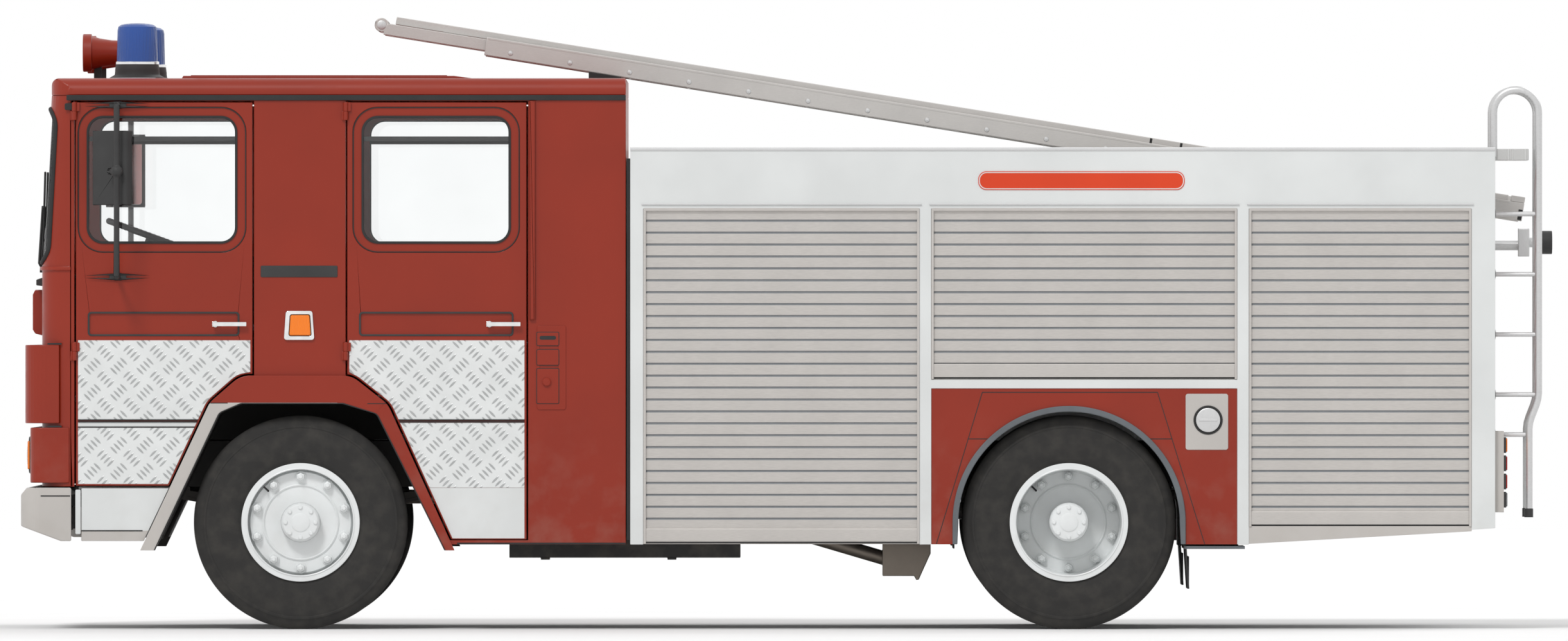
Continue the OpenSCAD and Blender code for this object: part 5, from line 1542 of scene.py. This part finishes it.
@dataclass
class CabInside:
    """The seats, the dashboard and the steering wheel."""

    driver_y: float = -0.640
    wheel_r: float = 0.232
    tilt: float = math.radians(20)

    def seat(self, name: str, x: float, y: tuple[float, float], z: float, floor: float, width: int = 1) -> None:
        """Makes one seat or bench.

        Args:
            name: Its name.
            x: The foot of its back.
            y: Its sides.
            z: The top of its cushion.
            floor: The floor's height.
            width: How many people sit on it.
        """
        each = (y[1] - y[0]) / width
        stuffed, cords, shells = Shape(), Shape(), Shape()
        for k in range(width):
            y0, y1 = y[0] + k * each + 0.004, y[0] + (k + 1) * each - 0.004
            for part in (Cushion((x + 0.055, y0, z - 0.112), (x + 0.505, y1, z - 0.016), 0.022),
                         Cushion((x - 0.040, y0 + 0.01, z - 0.02), (x + 0.070, y1 - 0.01, z + 0.365), 0.018, 2),
                         Cushion((x - 0.022, (y0 + y1) / 2 - 0.12, z + 0.245), (x + 0.052, (y0 + y1) / 2 + 0.12, z + 0.378),
                                 0.010, 0)):
                form, cord = part.shape()
                stuffed.join(form)
                cords.join(cord)
        padded = stuffed.piece(name + "_cushions", "root", CLOTH, crease=60)
        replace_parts(padded, "seats")
        cords.piece(name + "_piping", "root", SEAL, crease=60)
        shells.prism(rounded([(x - 0.035, z - 0.125), (x + 0.490, z - 0.125), (x + 0.490, z - 0.105), (x - 0.030, z - 0.105)],
                             0.004, 3), Plane.SIDE, y[0] + 0.012, y[1] - 0.012)
        shells.box((x + 0.070, y[0] + 0.06, floor), (x + 0.430, y[1] - 0.06, z - 0.12))
        shells.piece(name + "_base", "root", PLASTIC, 0.004)
        buckles = Shape()
        for k in range(width):
            side = y[0] + (k + 1) * each - 0.028
            buckles.prism([(x + 0.07, z - 0.06), (x + 0.10, z - 0.06), (x + 0.115, z + 0.045), (x + 0.085, z + 0.045)],
                          Plane.SIDE, side - 0.010, side + 0.010)
        buckles.piece(name + "_buckles", "root", BOARD, 0.003)

    def build(self) -> None:
        """Makes the pieces inside the cab."""
        low, high = span("seats")
        self.seat("driver_seat", 0.020, (self.driver_y - 0.235, self.driver_y + 0.235), 1.500, 1.150)
        self.seat("passenger_seat", 0.020, (-self.driver_y - 0.235, -self.driver_y + 0.235), 1.500, 1.150)
        self.seat("crew_bench", low.x + 0.040, (-0.980, 0.980), 1.420, 0.960, 4)
        recast("dashboard", PLASTIC, 0.006)
        self.build_dials()
        self.build_wheel()

    def build_dials(self) -> None:
        """Makes the dials, their faces and the switches on the dashboard."""
        dials, faces, keys = Shape(), Shape(), Shape()
        face = Matrix.Translation((0.985, self.driver_y, 1.775)) @ Matrix.Rotation(math.radians(-105), 4, "Y")
        for k, r in enumerate((0.042, 0.052, 0.052, 0.042)):
            spot = (0.0, -0.145 + k * 0.097, 0.0)
            dials.join(Shape().turned([(r, -0.004), (r, 0.006), (r - 0.004, 0.007), (r - 0.006, 0.002), (0.0, 0.002)], spot,
                                      Axis.Z, 32).copy(face))
            faces.join(Shape().turned([(r - 0.007, 0.0022), (0.0, 0.0024)], spot, Axis.Z, 32).copy(face))
        for k in range(9):
            y = -0.38 + k * 0.095
            keys.box((0.995, y - 0.017, 1.655), (1.003, y + 0.017, 1.685))
        dials.piece("dials", "root", PLASTIC)
        faces.piece("dial_faces", "root", PALE)
        keys.piece("switches", "root", SEAL, 0.002)

    def build_wheel(self) -> None:
        """Makes the steering wheel with a grooved rim and its horn button."""
        place = Matrix.Translation((0.774, self.driver_y, 1.945)) @ Matrix.Rotation(-self.tilt, 4, "Y")
        points, faces, rings, sides = [], [], 180, 16
        for i in range(rings):
            t = 2 * math.pi * i / rings
            thick = 0.0145 + 0.0012 * math.cos(t * 60)
            for k in range(sides):
                a = 2 * math.pi * k / sides
                r = self.wheel_r + thick * math.cos(a)
                points.append(place @ Vector((r * math.cos(t), r * math.sin(t), thick * math.sin(a))))
        for i in range(rings):
            for k in range(sides):
                j, m = (k + 1) % sides, (i + 1) % rings
                faces.append((i * sides + k, i * sides + j, m * sides + j, m * sides + k))
        rim = Shape().add(points, faces)
        hub = Shape().turned([(0.0, -0.050), (0.029, -0.050), (0.029, -0.018), (0.052, -0.016), (0.054, 0.000), (0.046, 0.005),
                              (0.0, 0.006)], (0, 0, 0), Axis.Z, 40)
        for k in range(4):
            t = math.radians(45 + 90 * k)
            d = Vector((math.cos(t), math.sin(t), 0))
            hub.tube([d * 0.04 + Vector((0, 0, -0.008)), d * 0.14 + Vector((0, 0, -0.009)), d * self.wheel_r], 0.0085, 12)
        whole = rim.join(hub.copy(place)).piece("steering_wheel_skin", "steering_wheel", PLASTIC, crease=40)
        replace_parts(whole, "steering_wheel")
        Shape().turned([(0.026, 0.004), (0.026, 0.0065), (0.020, 0.0066), (0.0, 0.0067)], (0, 0, 0), Axis.Z, 32).copy(
            place).piece("horn_button", "steering_wheel", BARE)


# ---------------------------------------------------------------- locker body


@dataclass
class LockerBody:
    """The locker body's sides, shutters, roof and rear."""

    post: float = 0.058
    top: float = 2.077
    shelf: float = 1.234
    front: float = 0.0
    rear: float = 0.0
    y: float = 0.0
    height: float = 0.0
    axle: float = 0.0
    bays: list[tuple[float, float, float]] = field(default_factory=list)

    def build(self) -> None:
        """Makes the body."""
        low, high = span("body_sides")
        self.front, self.rear, self.y, self.height = high.x, low.x, high.y, high.z
        recast("body_sides", PALE, 0.0025)
        recast("body_ends", PALE, 0.0025)
        recast("body_roof", PALE, 0.002, [(FLOOR_PLATE, facing_up)])
        recast("body_floor", BARE, 0.0015)
        recast("roller_shutters", SHUTTER, 0.0012, [
            # Painted shade: the groove faces between the slats take the darker groove finish.
            (SHUTTER_GROOVE_SHADE, lambda p, n: abs(n.x) < 0.5 and self.y - 0.0152 < abs(p.y) < self.y - 0.0103),
            (SHUTTER_GROOVE_SHADE, lambda p, n: abs(n.y) < 0.5 and self.rear + 0.0103 < p.x - ORIGIN.x < self.rear + 0.0152)])
        self.axle = (span("rear_left_wheels")[0].x + span("rear_left_wheels")[1].x) / 2
        self.bays = [(self.axle + 0.739, self.front - 0.065, 0.421), (self.axle - 0.831, self.axle + 0.681, self.shelf),
                     (self.rear + 0.117, self.axle - 0.889, 0.506)]
        for side in Side:
            self.build_side(side)
        self.build_rear()

    def build_side(self, side: Side) -> None:
        """Makes the shutters' bars, rails and seals on one side, and the trims round them."""
        name, y = side.word, self.y
        bars, rails, seals, boxes, drops = Shape(), Shape(), Shape(), Shape(), Shape()
        for x0, x1, z0 in self.bays:
            bars.prism([(y - 0.012, z0 + 0.012), (y - 0.002, z0 + 0.012), (y - 0.001, z0 + 0.020), (y - 0.001, z0 + 0.072),
                        (y - 0.004, z0 + 0.078), (y - 0.012, z0 + 0.078)], Plane.FRONT, x0 + 0.012, x1 - 0.012)
            seals.box((x0 + 0.012, y - 0.012, z0 + 0.0045), (x1 - 0.012, y - 0.003, z0 + 0.0125))
            for x in (x0 + 0.0065, x1 - 0.0065):
                rails.box((x - 0.006, y - 0.024, z0 + 0.002), (x + 0.006, y + 0.003, self.top - 0.001))
            boxes.box((x0 + 0.002, y - 0.009, self.top - 0.010), (x1 - 0.002, y + 0.0025, self.top + 0.004))
            drops.box((x0 - 0.010, y - 0.001, self.top + 0.020), (x1 + 0.010, y + 0.008, self.top + 0.026))
        bars.on(side).piece(f"{name}_shutter_bars", "root", SHUTTER, 0.0012)
        rails.on(side).piece(f"{name}_shutter_rails", "root", SHUTTER, 0.0015)
        seals.on(side).piece(f"{name}_shutter_seals", "root", SEAL, 0.001)
        boxes.on(side).piece(f"{name}_shutter_headers", "root", SHUTTER, 0.001)
        x0, x1, z0 = self.bays[2]
        kick = Shape().prism([(x0 - 0.001, z0 + 0.004), (x1 + 0.001, z0 + 0.004), (x1 + 0.001, 0.4225), (x0 - 0.001, 0.4845)],
                             Plane.SIDE, y - 0.016, y - 0.003)
        kick.on(side).piece(f"{name}_kick_plate", "root", WARM, 0.0015)
        drops.on(side).piece(f"{name}_drip_rails", "root", BARE, 0.0015)
        board = rectangle((self.axle - 0.571, 2.171), (self.axle + 0.449, 2.263), 0.040)
        Shape().prism(board, Plane.SIDE, y - 0.001, y + 0.004).on(side).piece(f"{name}_name_board", "root", BOARD, 0.0015)
        inner = rectangle((self.axle - 0.563, 2.179), (self.axle + 0.441, 2.255), 0.034)
        edge = rectangle((self.axle - 0.567, 2.175), (self.axle + 0.445, 2.259), 0.037)
        Shape().prism(edge, Plane.SIDE, y + 0.003, y + 0.0048, inner).on(side).piece(f"{name}_name_board_edge", "root", PALE)
        self.build_wheel_panel(side)
        self.build_trims(side)

    def build_wheel_panel(self, side: Side) -> None:
        """Makes the panel round the rear wheel, with its seams, arch rubber and filler."""
        name, y, x, z = side.word, self.y - 0.004, self.axle, AXLE_Z
        if side is Side.LEFT:
            recast("rear_wheel_panels", RED, 0.002)
            recast("rear_mudguards", LINER, 0.0015, [(EDGE_RUBBER, lambda p, n: abs(p.y) > self.y - 0.035)])
        seams = Shape()
        for a, b in (((0.429, 1.171), (0.656, 0.422)), ((-0.437, 1.171), (-0.670, 0.422))):
            d = Vector((b[0] - a[0], b[1] - a[1])).normalized() * 0.0018
            seams.prism([(x + a[0] - d.y, a[1] + d.x), (x + a[0] + d.y, a[1] - d.x), (x + b[0] + d.y, b[1] - d.x),
                         (x + b[0] - d.y, b[1] + d.x)], Plane.SIDE, y - 0.001, y + 0.0008)
        seams.prism(rectangle((x - 0.437, 1.169), (x + 0.429, 1.173)), Plane.SIDE, y - 0.001, y + 0.0009)
        for s in (1, -1):
            reach = math.sqrt(0.577 ** 2 - (0.941 - z) ** 2)
            end = 0.499 if s > 0 else 0.508
            seams.prism(rectangle((min(x + s * reach, x + s * end), 0.939), (max(x + s * reach, x + s * end), 0.943)),
                        Plane.SIDE, y - 0.001, y + 0.0007)
        seams.on(side).piece(f"{name}_panel_seams", "root", SEAL)
        band_out, band_in, n = [], [], 72
        for k in range(n + 1):
            t = math.pi * k / n
            band_out.append((x + 0.576 * math.cos(t), z + 0.576 * math.sin(t)))
            band_in.append((x + 0.547 * math.cos(t), z + 0.547 * math.sin(t)))
        left = [(x + 0.576, 0.420)] + band_out + [(x - 0.576, 0.420), (x - 0.552, 0.420)] + list(reversed(band_in)) + [
            (x + 0.552, 0.420)]
        Shape().prism(left, Plane.SIDE, y - 0.002, y + 0.014).on(side).piece(f"{name}_arch_rubber", "root", EDGE_RUBBER, 0.004)
        plate = rectangle((x - 0.786, 0.887), (x - 0.576, 1.164), 0.012)
        cap = (x - 0.687, y + 0.003, 1.034)
        Shape().prism(plate, Plane.SIDE, y - 0.001, y + 0.0035).on(side).piece(f"{name}_filler_plate", "root", WARM, 0.001)
        Shape().turned([(0.072, 0.0), (0.072, 0.003), (0.064, 0.004), (0.062, 0.001), (0.0, 0.001)], cap, Axis.Y, 48).on(
            side).piece(f"{name}_filler_ring", "root", SEAL)
        filler = Shape().turned([(0.060, 0.0), (0.060, 0.006), (0.055, 0.0085), (0.0, 0.0095)], cap, Axis.Y, 48)
        filler.box((cap[0] - 0.045, cap[1] + 0.006, cap[2] - 0.006), (cap[0] + 0.045, cap[1] + 0.0125, cap[2] + 0.006))
        filler.on(side).piece(f"{name}_filler_cap", "root", BARE, 0.001)
        flap = Shape().prism([(x - 0.585, 0.200), (x - 0.595, 0.200), (x - 0.580, 0.430), (x - 0.570, 0.430)], Plane.SIDE,
                             0.700, y - 0.030)
        for k in range(6):
            flap.box((x - 0.594, 0.74 + k * 0.075, 0.22), (x - 0.5895, 0.76 + k * 0.075, 0.36))
        flap.on(side).piece(f"{name}_mud_flap", "root", SEAL, 0.002)

    def build_trims(self, side: Side) -> None:
        """Makes the parapet's capping and the dark joint at the body's front edge."""
        name, y = side.word, self.y
        cap = Shape().prism([(y - 0.043, self.height - 0.012), (y + 0.004, self.height - 0.012), (y + 0.004, self.height + 0.002),
                             (y + 0.001, self.height + 0.005), (y - 0.043, self.height + 0.005)], Plane.FRONT, self.rear, self.front)
        cap.on(side).piece(f"{name}_parapet_capping", "root", BARE, 0.001)
        joint = Shape().box((self.front - 0.004, y - 0.036, 0.440), (self.front + 0.018, y - 0.030, self.height - 0.05))
        joint.on(side).piece(f"{name}_body_joint", "root", SEAL, 0.001)

    def build_rear(self) -> None:
        """Makes the rear shutter's bar, handle and frame, the number plate, the lamps and the chevrons."""
        x = self.rear
        bar = Shape().prism([(x - 0.0005, 0.965), (x + 0.010, 0.965), (x + 0.010, 1.030), (x - 0.0005, 1.030)], Plane.SIDE,
                            -0.568, 0.568)
        bar.piece("rear_shutter_bar", "root", SHUTTER, 0.0012)
        handle = Shape().tube([(x + 0.004, -0.17, 1.0), (x - 0.016, -0.165, 1.0), (x - 0.016, 0.165, 1.0), (x + 0.004, 0.17, 1.0)],
                              0.007, 12)
        handle.piece("rear_shutter_handle", "root", TUBE)
        frame_ = Shape()
        for s in (-1, 1):
            frame_.box((x - 0.003, s * 0.580 - 0.007, 0.955), (x + 0.022, s * 0.580 + 0.007, 1.885))
        frame_.box((x - 0.003, -0.587, 1.874), (x + 0.012, 0.587, 1.890))
        frame_.piece("rear_shutter_frame", "root", SHUTTER, 0.0015)
        Shape().prism(rectangle((-0.26, 0.640), (0.26, 0.755), 0.008), Plane.FRONT, x - 0.004, x + 0.001).piece(
            "rear_number_plate", "root", AMBER_PAINT, 0.001)
        Shape().prism(rectangle((-0.275, 0.628), (0.275, 0.767), 0.010), Plane.FRONT, x - 0.0025, x + 0.001).piece(
            "rear_plate_back", "root", PLASTIC, 0.001)
        recast("rear_lamps", WARM, 0.003, leave=lambda p: p.x - ORIGIN.x < x - 0.0445)
        low, _ = span("rear_lamps")
        for s in (-1, 1):
            for z, finish, kind in ((0.600, LENS, "reversing"), (0.690, RED_LENS, "tail"), (0.780, RED_LENS, "stop"),
                                    (0.870, AMBER, "turn")):
                side = Side(s).word
                Shape().prism(rectangle((s * 1.09 - 0.059, z + 0.001), (s * 1.09 + 0.059, z + 0.079), 0.010), Plane.FRONT,
                              low.x + 0.006, x - 0.043).piece(f"{side}_{kind}_housing", "root", PLASTIC, 0.001)
                Shape().prism(rectangle((s * 1.09 - 0.054, z + 0.006), (s * 1.09 + 0.054, z + 0.074), 0.008), Plane.FRONT,
                              low.x, low.x + 0.010).piece(f"{side}_{kind}_lens", "root", finish, 0.003)
        tape = Shape()
        for s in (-1, 1):
            for k in range(7):
                z = 1.05 + k * 0.17
                tape.prism([(s * 0.70, z), (s * 1.10, z + 0.16), (s * 1.10, z + 0.245), (s * 0.70, z + 0.085)], Plane.FRONT,
                           x - 0.0012, x + 0.001)
        tape.piece("rear_chevrons", "root", RED, 0.0)


@dataclass
class AccessLadder:
    """The round-tube ladder on the rear, with its step and feet."""

    tube: float = 0.019
    rungs: tuple[float, ...] = (2.054, 1.755, 1.457, 1.159, 0.961)
    bend: float = 0.047
    hoop: float = 0.111

    def build(self) -> None:
        """Makes the rails, rungs, stays, step and feet."""
        low, high = span("access_ladder")
        rear = span("body_sides")[0].x
        x = low.x + self.tube
        ys = (low.y + self.tube, high.y - self.tube)
        top = high.z - self.tube - self.hoop
        centre = Vector((x + self.hoop, 0, top))
        rails, steps, feet = Shape(), Shape(), Shape()
        for y in ys:
            path = [Vector((centre.x + self.hoop, y, 2.337))]
            path += [Vector((centre.x + self.hoop * math.cos(t), y, centre.z + self.hoop * math.sin(t)))
                     for t in (math.pi * k / 16 for k in range(17))]
            for k in range(7):
                f = k / 6
                blend = f * f * (3 - 2 * f)
                path.append(Vector((x + self.bend * blend, y, 1.165 - 0.175 * f)))
            path.append(Vector((x + self.bend, y, low.z)))
            rails.tube(path, self.tube, 20)
            feet.turned([(self.tube + 0.003, -0.002), (self.tube + 0.003, 0.040), (self.tube, 0.042)],
                        (x + self.bend, y, low.z + 0.001), Axis.Z, 24)
        for z in self.rungs:
            at = x + (self.bend if z < 1.01 else 0.0)
            steps.rod((at, ys[0], z), (at, ys[1], z), 0.0125, 20)
            for k in range(22):
                y = ys[0] + 0.035 + k * 0.0138
                steps.turned([(0.0125, 0.0), (0.0142, 0.002), (0.0142, 0.005), (0.0125, 0.007)], (at, y, z), Axis.Y, 16)
            for y in ys:
                steps.rod((at, y, z), (rear, y, z), 0.011, 16)
                feet.turned([(0.030, 0.0), (0.030, 0.005), (0.014, 0.009), (0.011, 0.009)], (rear, y, z), Axis.X, 24, True)
        whole = rails.piece("access_ladder_rails", "root", TUBE, crease=40)
        rungs = steps.piece("access_ladder_rungs", "root", TUBE, crease=40)
        feet.piece("access_ladder_feet", "root", PLASTIC, crease=40)
        plate = Shape().box((rear - 0.172, ys[0] + 0.001, 2.319), (rear, ys[1] - 0.001, 2.376))
        shelf = plate.piece("access_ladder_step", "root", FLOOR_PLATE, 0.003)
        for piece in (whole, rungs, shelf):
            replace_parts(piece, "access_ladder")


# ---------------------------------------------------------------- ladder


@dataclass
class RoofLadder:
    """The three-section ladder, its rests and its clamp."""

    heel: Point = (-6.061, 0.0, 2.019)
    length: float = 5.228
    rise: float = math.radians(9.0988)

    def build(self) -> None:
        """Makes the ladder's finished pieces."""
        place = Matrix.Translation(self.heel) @ Matrix.Rotation(-self.rise, 4, "Y")
        for node in ("ladder_main", "ladder_middle", "ladder_top"):
            recast(node, LADDER, 0.003)
        feet, rivets, rubber, wheels, lines = Shape(), Shape(), Shape(), Shape(), Shape()
        for s in (-1, 1):
            feet.box((0.0005, s * 0.305 - 0.0152, 0.002), (0.026, s * 0.305 + 0.0152, 0.060))
            for k in range(17):
                rivets.turned([(0.013, 0.0), (0.011, 0.0035), (0.0, 0.005)], (0.300 + k * 0.300, s * 0.3195, 0.030), Axis.Y, 16,
                              s < 0)
            lines.box((0.075, s * 0.3195, 0.080), (self.length - 0.01, s * 0.3206, 0.088))
            lines.box((0.075, s * 0.3195, 0.004), (self.length - 0.01, s * 0.3206, 0.010))
        feet.copy(place).piece("ladder_heel_shoes", "ladder_main", SEAL, 0.003)
        rivets.copy(place).piece("ladder_rung_ends", "ladder_main", BARE)
        lines.copy(place).piece("ladder_beam_ribs", "ladder_main", LADDER, 0.001)
        for s in (-1, 1):
            rubber.turned([(0.022, -0.001), (0.022, 0.003), (0.018, 0.0045), (0.0, 0.005)],
                          (self.length + 0.528, s * 0.285, 0.0685), Axis.Y, 28, s < 0)
        rubber.copy(place).piece("ladder_roller_caps", "ladder_middle", BARE)
        for k in range(2):
            wheels.turned([(0.030, -0.009), (0.033, -0.009), (0.033, -0.006), (0.026, -0.004), (0.026, 0.004), (0.033, 0.006),
                           (0.033, 0.009), (0.030, 0.009)], (self.length - 0.05 - k * 0.06, 0.0, 0.055), Axis.Y, 28)
        wheels.box((self.length - 0.16, -0.014, 0.060), (self.length - 0.02, -0.011, 0.075))
        wheels.box((self.length - 0.16, 0.011, 0.060), (self.length - 0.02, 0.014, 0.075))
        stripe = Shape()
        for x in (self.length * 0.33, self.length * 0.34 + 0.1):
            for s in (-1, 1):
                stripe.box((x, s * 0.220 - 0.0005 * s, 0.084), (x + 0.012, s * 0.2508, 0.1175))
        stripe.copy(place).piece("ladder_top_marks", "ladder_top", SEAL)
        recast("ladder_rests", WARM, 0.003, [
            (SEAL, lambda p, n: p.x - ORIGIN.x > -1.7),
            (BARE, lambda p, n: p.x - ORIGIN.x < -5.9 and p.x - ORIGIN.x > -6.17),
            (PLASTIC, lambda p, n: p.x - ORIGIN.x <= -6.17)])


# ---------------------------------------------------------------- underside


@dataclass
class Underside:
    """The chassis and everything hung on it."""

    leaves: int = 7

    def build(self) -> None:
        """Makes the underside's finished pieces."""
        for node in ("chassis_frame", "engine_and_gearbox", "front_axle", "rear_axle", "fuel_tank", "battery_box",
                     "left_knuckle", "right_knuckle", "track_rod"):
            recast(node, CHASSIS, 0.003)
        recast("propshaft", SPRING, 0.002)
        recast("exhaust", EXHAUST, 0.004)
        recast("leaf_springs", SPRING, 0.002)
        self.build_springs()
        self.build_tank()

    def build_springs(self) -> None:
        """Makes the leaves' edges, the U-bolts, their nuts and the dampers."""
        gaps, bolts, dampers = Shape(), Shape(), Shape()
        for x, half, seat, ends in ((0.0, 0.640, AXLE_Z + 0.017, 0.645), (-3.800, 0.720, AXLE_Z + 0.078, 0.650)):
            for s in (-1, 1):
                y0, y1 = sorted((s * 0.3565, s * 0.4325))
                for k in range(1, self.leaves):
                    reach = half * (0.28 + 0.72 * k / self.leaves)
                    lift = 0.044 * k / self.leaves
                    curve = []
                    for n in range(13):
                        u = -1 + n / 6
                        curve.append((x + u * reach, seat + lift + (ends - seat) * 0.85 * (u * reach / half) ** 2))
                    gaps.prism(curve + [(px, pz + 0.0022) for px, pz in reversed(curve)], Plane.SIDE, y0, y1)
                for dx in (-0.085, 0.085):
                    for y in (y0 - 0.012, y1 + 0.012):
                        bolts.rod((x + dx, y, seat - 0.065), (x + dx, y, seat + 0.085), 0.010, 12)
                        bolts.turned([(0.018, 0.0), (0.018, 0.016), (0.0, 0.017)], (x + dx, y, seat - 0.062), Axis.Z, 6)
                    bolts.rod((x + dx, y0 - 0.012, seat + 0.085), (x + dx, y1 + 0.012, seat + 0.085), 0.010, 12)
                low = Vector((x + 0.16, s * 0.480, seat - 0.02))
                high = Vector((x + 0.30, s * 0.480, seat + 0.30))
                dampers.rod(low, low.lerp(high, 0.55), 0.034, 20)
                dampers.rod(low.lerp(high, 0.5), high, 0.026, 20)
        gaps.piece("spring_leaf_gaps", "root", SEAL)
        bolts.piece("spring_u_bolts", "root", SPRING)
        dampers.piece("dampers", "root", CHASSIS)

    def build_tank(self) -> None:
        """Makes the tank's cap, the splash screens and the hoses along the frame."""
        low, high = span("fuel_tank")
        cap = Shape().turned([(0.040, 0.0), (0.040, 0.018), (0.035, 0.024), (0.0, 0.025)],
                             (high.x - 0.12, high.y - 0.07, high.z - 0.045), Axis.Z, 32)
        cap.piece("fuel_cap", "root", BARE)
        screens = Shape()
        for s in (-1, 1):
            screens.prism(rectangle((-0.440, 0.934), (0.520, 1.146), 0.010), Plane.SIDE, s * 0.443 - 0.003, s * 0.443 + 0.003)
        screens.piece("splash_screens", "root", LINER, 0.001)
        pipes = Shape()
        for k, y in enumerate((0.300, 0.320, -0.310)):
            z = 0.880 - 0.02 * k
            pipes.tube([(0.55, y, z), (-0.35, y, z), (-0.45, y * 0.98, z - 0.01), (-1.6, y, z), (-3.2, y, z), (-4.5, y, z - 0.01),
                        (-5.6, y, z)], 0.009, 10)
        pipes.piece("frame_pipes", "root", PLASTIC)


# ---------------------------------------------------------------- stage


@dataclass
class Stage:
    """The floor, the light and the camera."""

    lens: float = 600.0
    camera_at: Point = (0.0285, 130.36, 1.526)
    sky: float = 0.72

    def build(self) -> None:
        """Makes the stage."""
        scene = bpy.context.scene
        scene.view_settings.view_transform = "Standard"
        self.build_world(scene)
        self.build_floor()
        for name, power, aim, angle in (("key_sun", 1.35, (-0.42, -1.0, -1.15), 14), ("fill_sun", 0.7, (0.8, 0.9, -0.9), 40)):
            light = bpy.data.lights.new(name, "SUN")
            light.energy = power
            light.angle = math.radians(angle)
            made = bpy.data.objects.new(name, light)
            made.rotation_mode = "QUATERNION"
            made.rotation_quaternion = Vector(aim).to_track_quat("-Z", "Y")
            scene.collection.objects.link(made)
        data = bpy.data.cameras.new("side_camera")
        data.sensor_width = 36.0
        data.lens = self.lens
        data.clip_end = 1000.0
        camera = bpy.data.objects.new("side_camera", data)
        camera.location = self.camera_at
        camera.rotation_euler = (math.radians(90), 0.0, math.radians(180))
        scene.collection.objects.link(camera)
        scene.camera = camera

    def build_world(self, scene: bpy.types.Scene) -> None:
        """Makes a world that is white to look at and softer as a light."""
        world = bpy.data.worlds.new("white_world")
        scene.world = world
        world.use_nodes = True
        tree = world.node_tree
        tree.nodes.clear()
        rays = tree.nodes.new("ShaderNodeLightPath")
        seen = rays.outputs["Is Camera Ray"]
        for kind in ("Is Glossy Ray", "Is Transmission Ray"):
            clear = tree.nodes.new("ShaderNodeMath")
            clear.operation = "MAXIMUM"
            tree.links.new(seen, clear.inputs[0])
            tree.links.new(rays.outputs[kind], clear.inputs[1])
            seen = clear.outputs[0]
        power = tree.nodes.new("ShaderNodeMapRange")
        tree.links.new(seen, power.inputs[0])
        power.inputs[3].default_value = self.sky
        power.inputs[4].default_value = 1.0
        back = tree.nodes.new("ShaderNodeBackground")
        back.inputs["Color"].default_value = (1.0, 1.0, 1.0, 1.0)
        tree.links.new(power.outputs[0], back.inputs["Strength"])
        out = tree.nodes.new("ShaderNodeOutputWorld")
        tree.links.new(back.outputs[0], out.inputs["Surface"])

    def build_floor(self) -> None:
        """Makes a large pale floor that keeps the shadow."""
        graph = Graph("pale_floor")
        soft = graph.noise(0.8, 3.0)
        graph.set(Base_Color=graph.ramp(soft, [(0.3, (0.84, 0.84, 0.84)), (0.7, (0.87, 0.87, 0.87))]), Roughness=0.9)
        graph.bump(graph.noise(90.0, 2.0), 0.0005, 0.3)
        mesh = bpy.data.meshes.new("floor")
        half = 60.0
        mesh.from_pydata([(-half, -half, 0), (half, -half, 0), (half, half, 0), (-half, half, 0)], [], [(0, 1, 2, 3)])
        mesh.materials.append(graph.material)
        floor = bpy.data.objects.new("floor", mesh)
        bpy.context.scene.collection.objects.link(floor)


# ---------------------------------------------------------------- build


def main() -> None:
    """Builds the fire engine piece by piece, then its stage."""
    logging.basicConfig(level=logging.INFO, format="%(message)s")
    Underside().build()
    CabShell().build()
    for side in Side:
        CabSide(side).build()
        for end in ("front", "rear"):
            Door(end, side).build()
            Wheels(end, side, end == "rear").build()
        Mirror(side).build()
    RoofSet().build()
    CabInside().build()
    LockerBody().build()
    AccessLadder().build()
    RoofLadder().build()
    Stage().build()


if __name__ == "__main__":
    main()
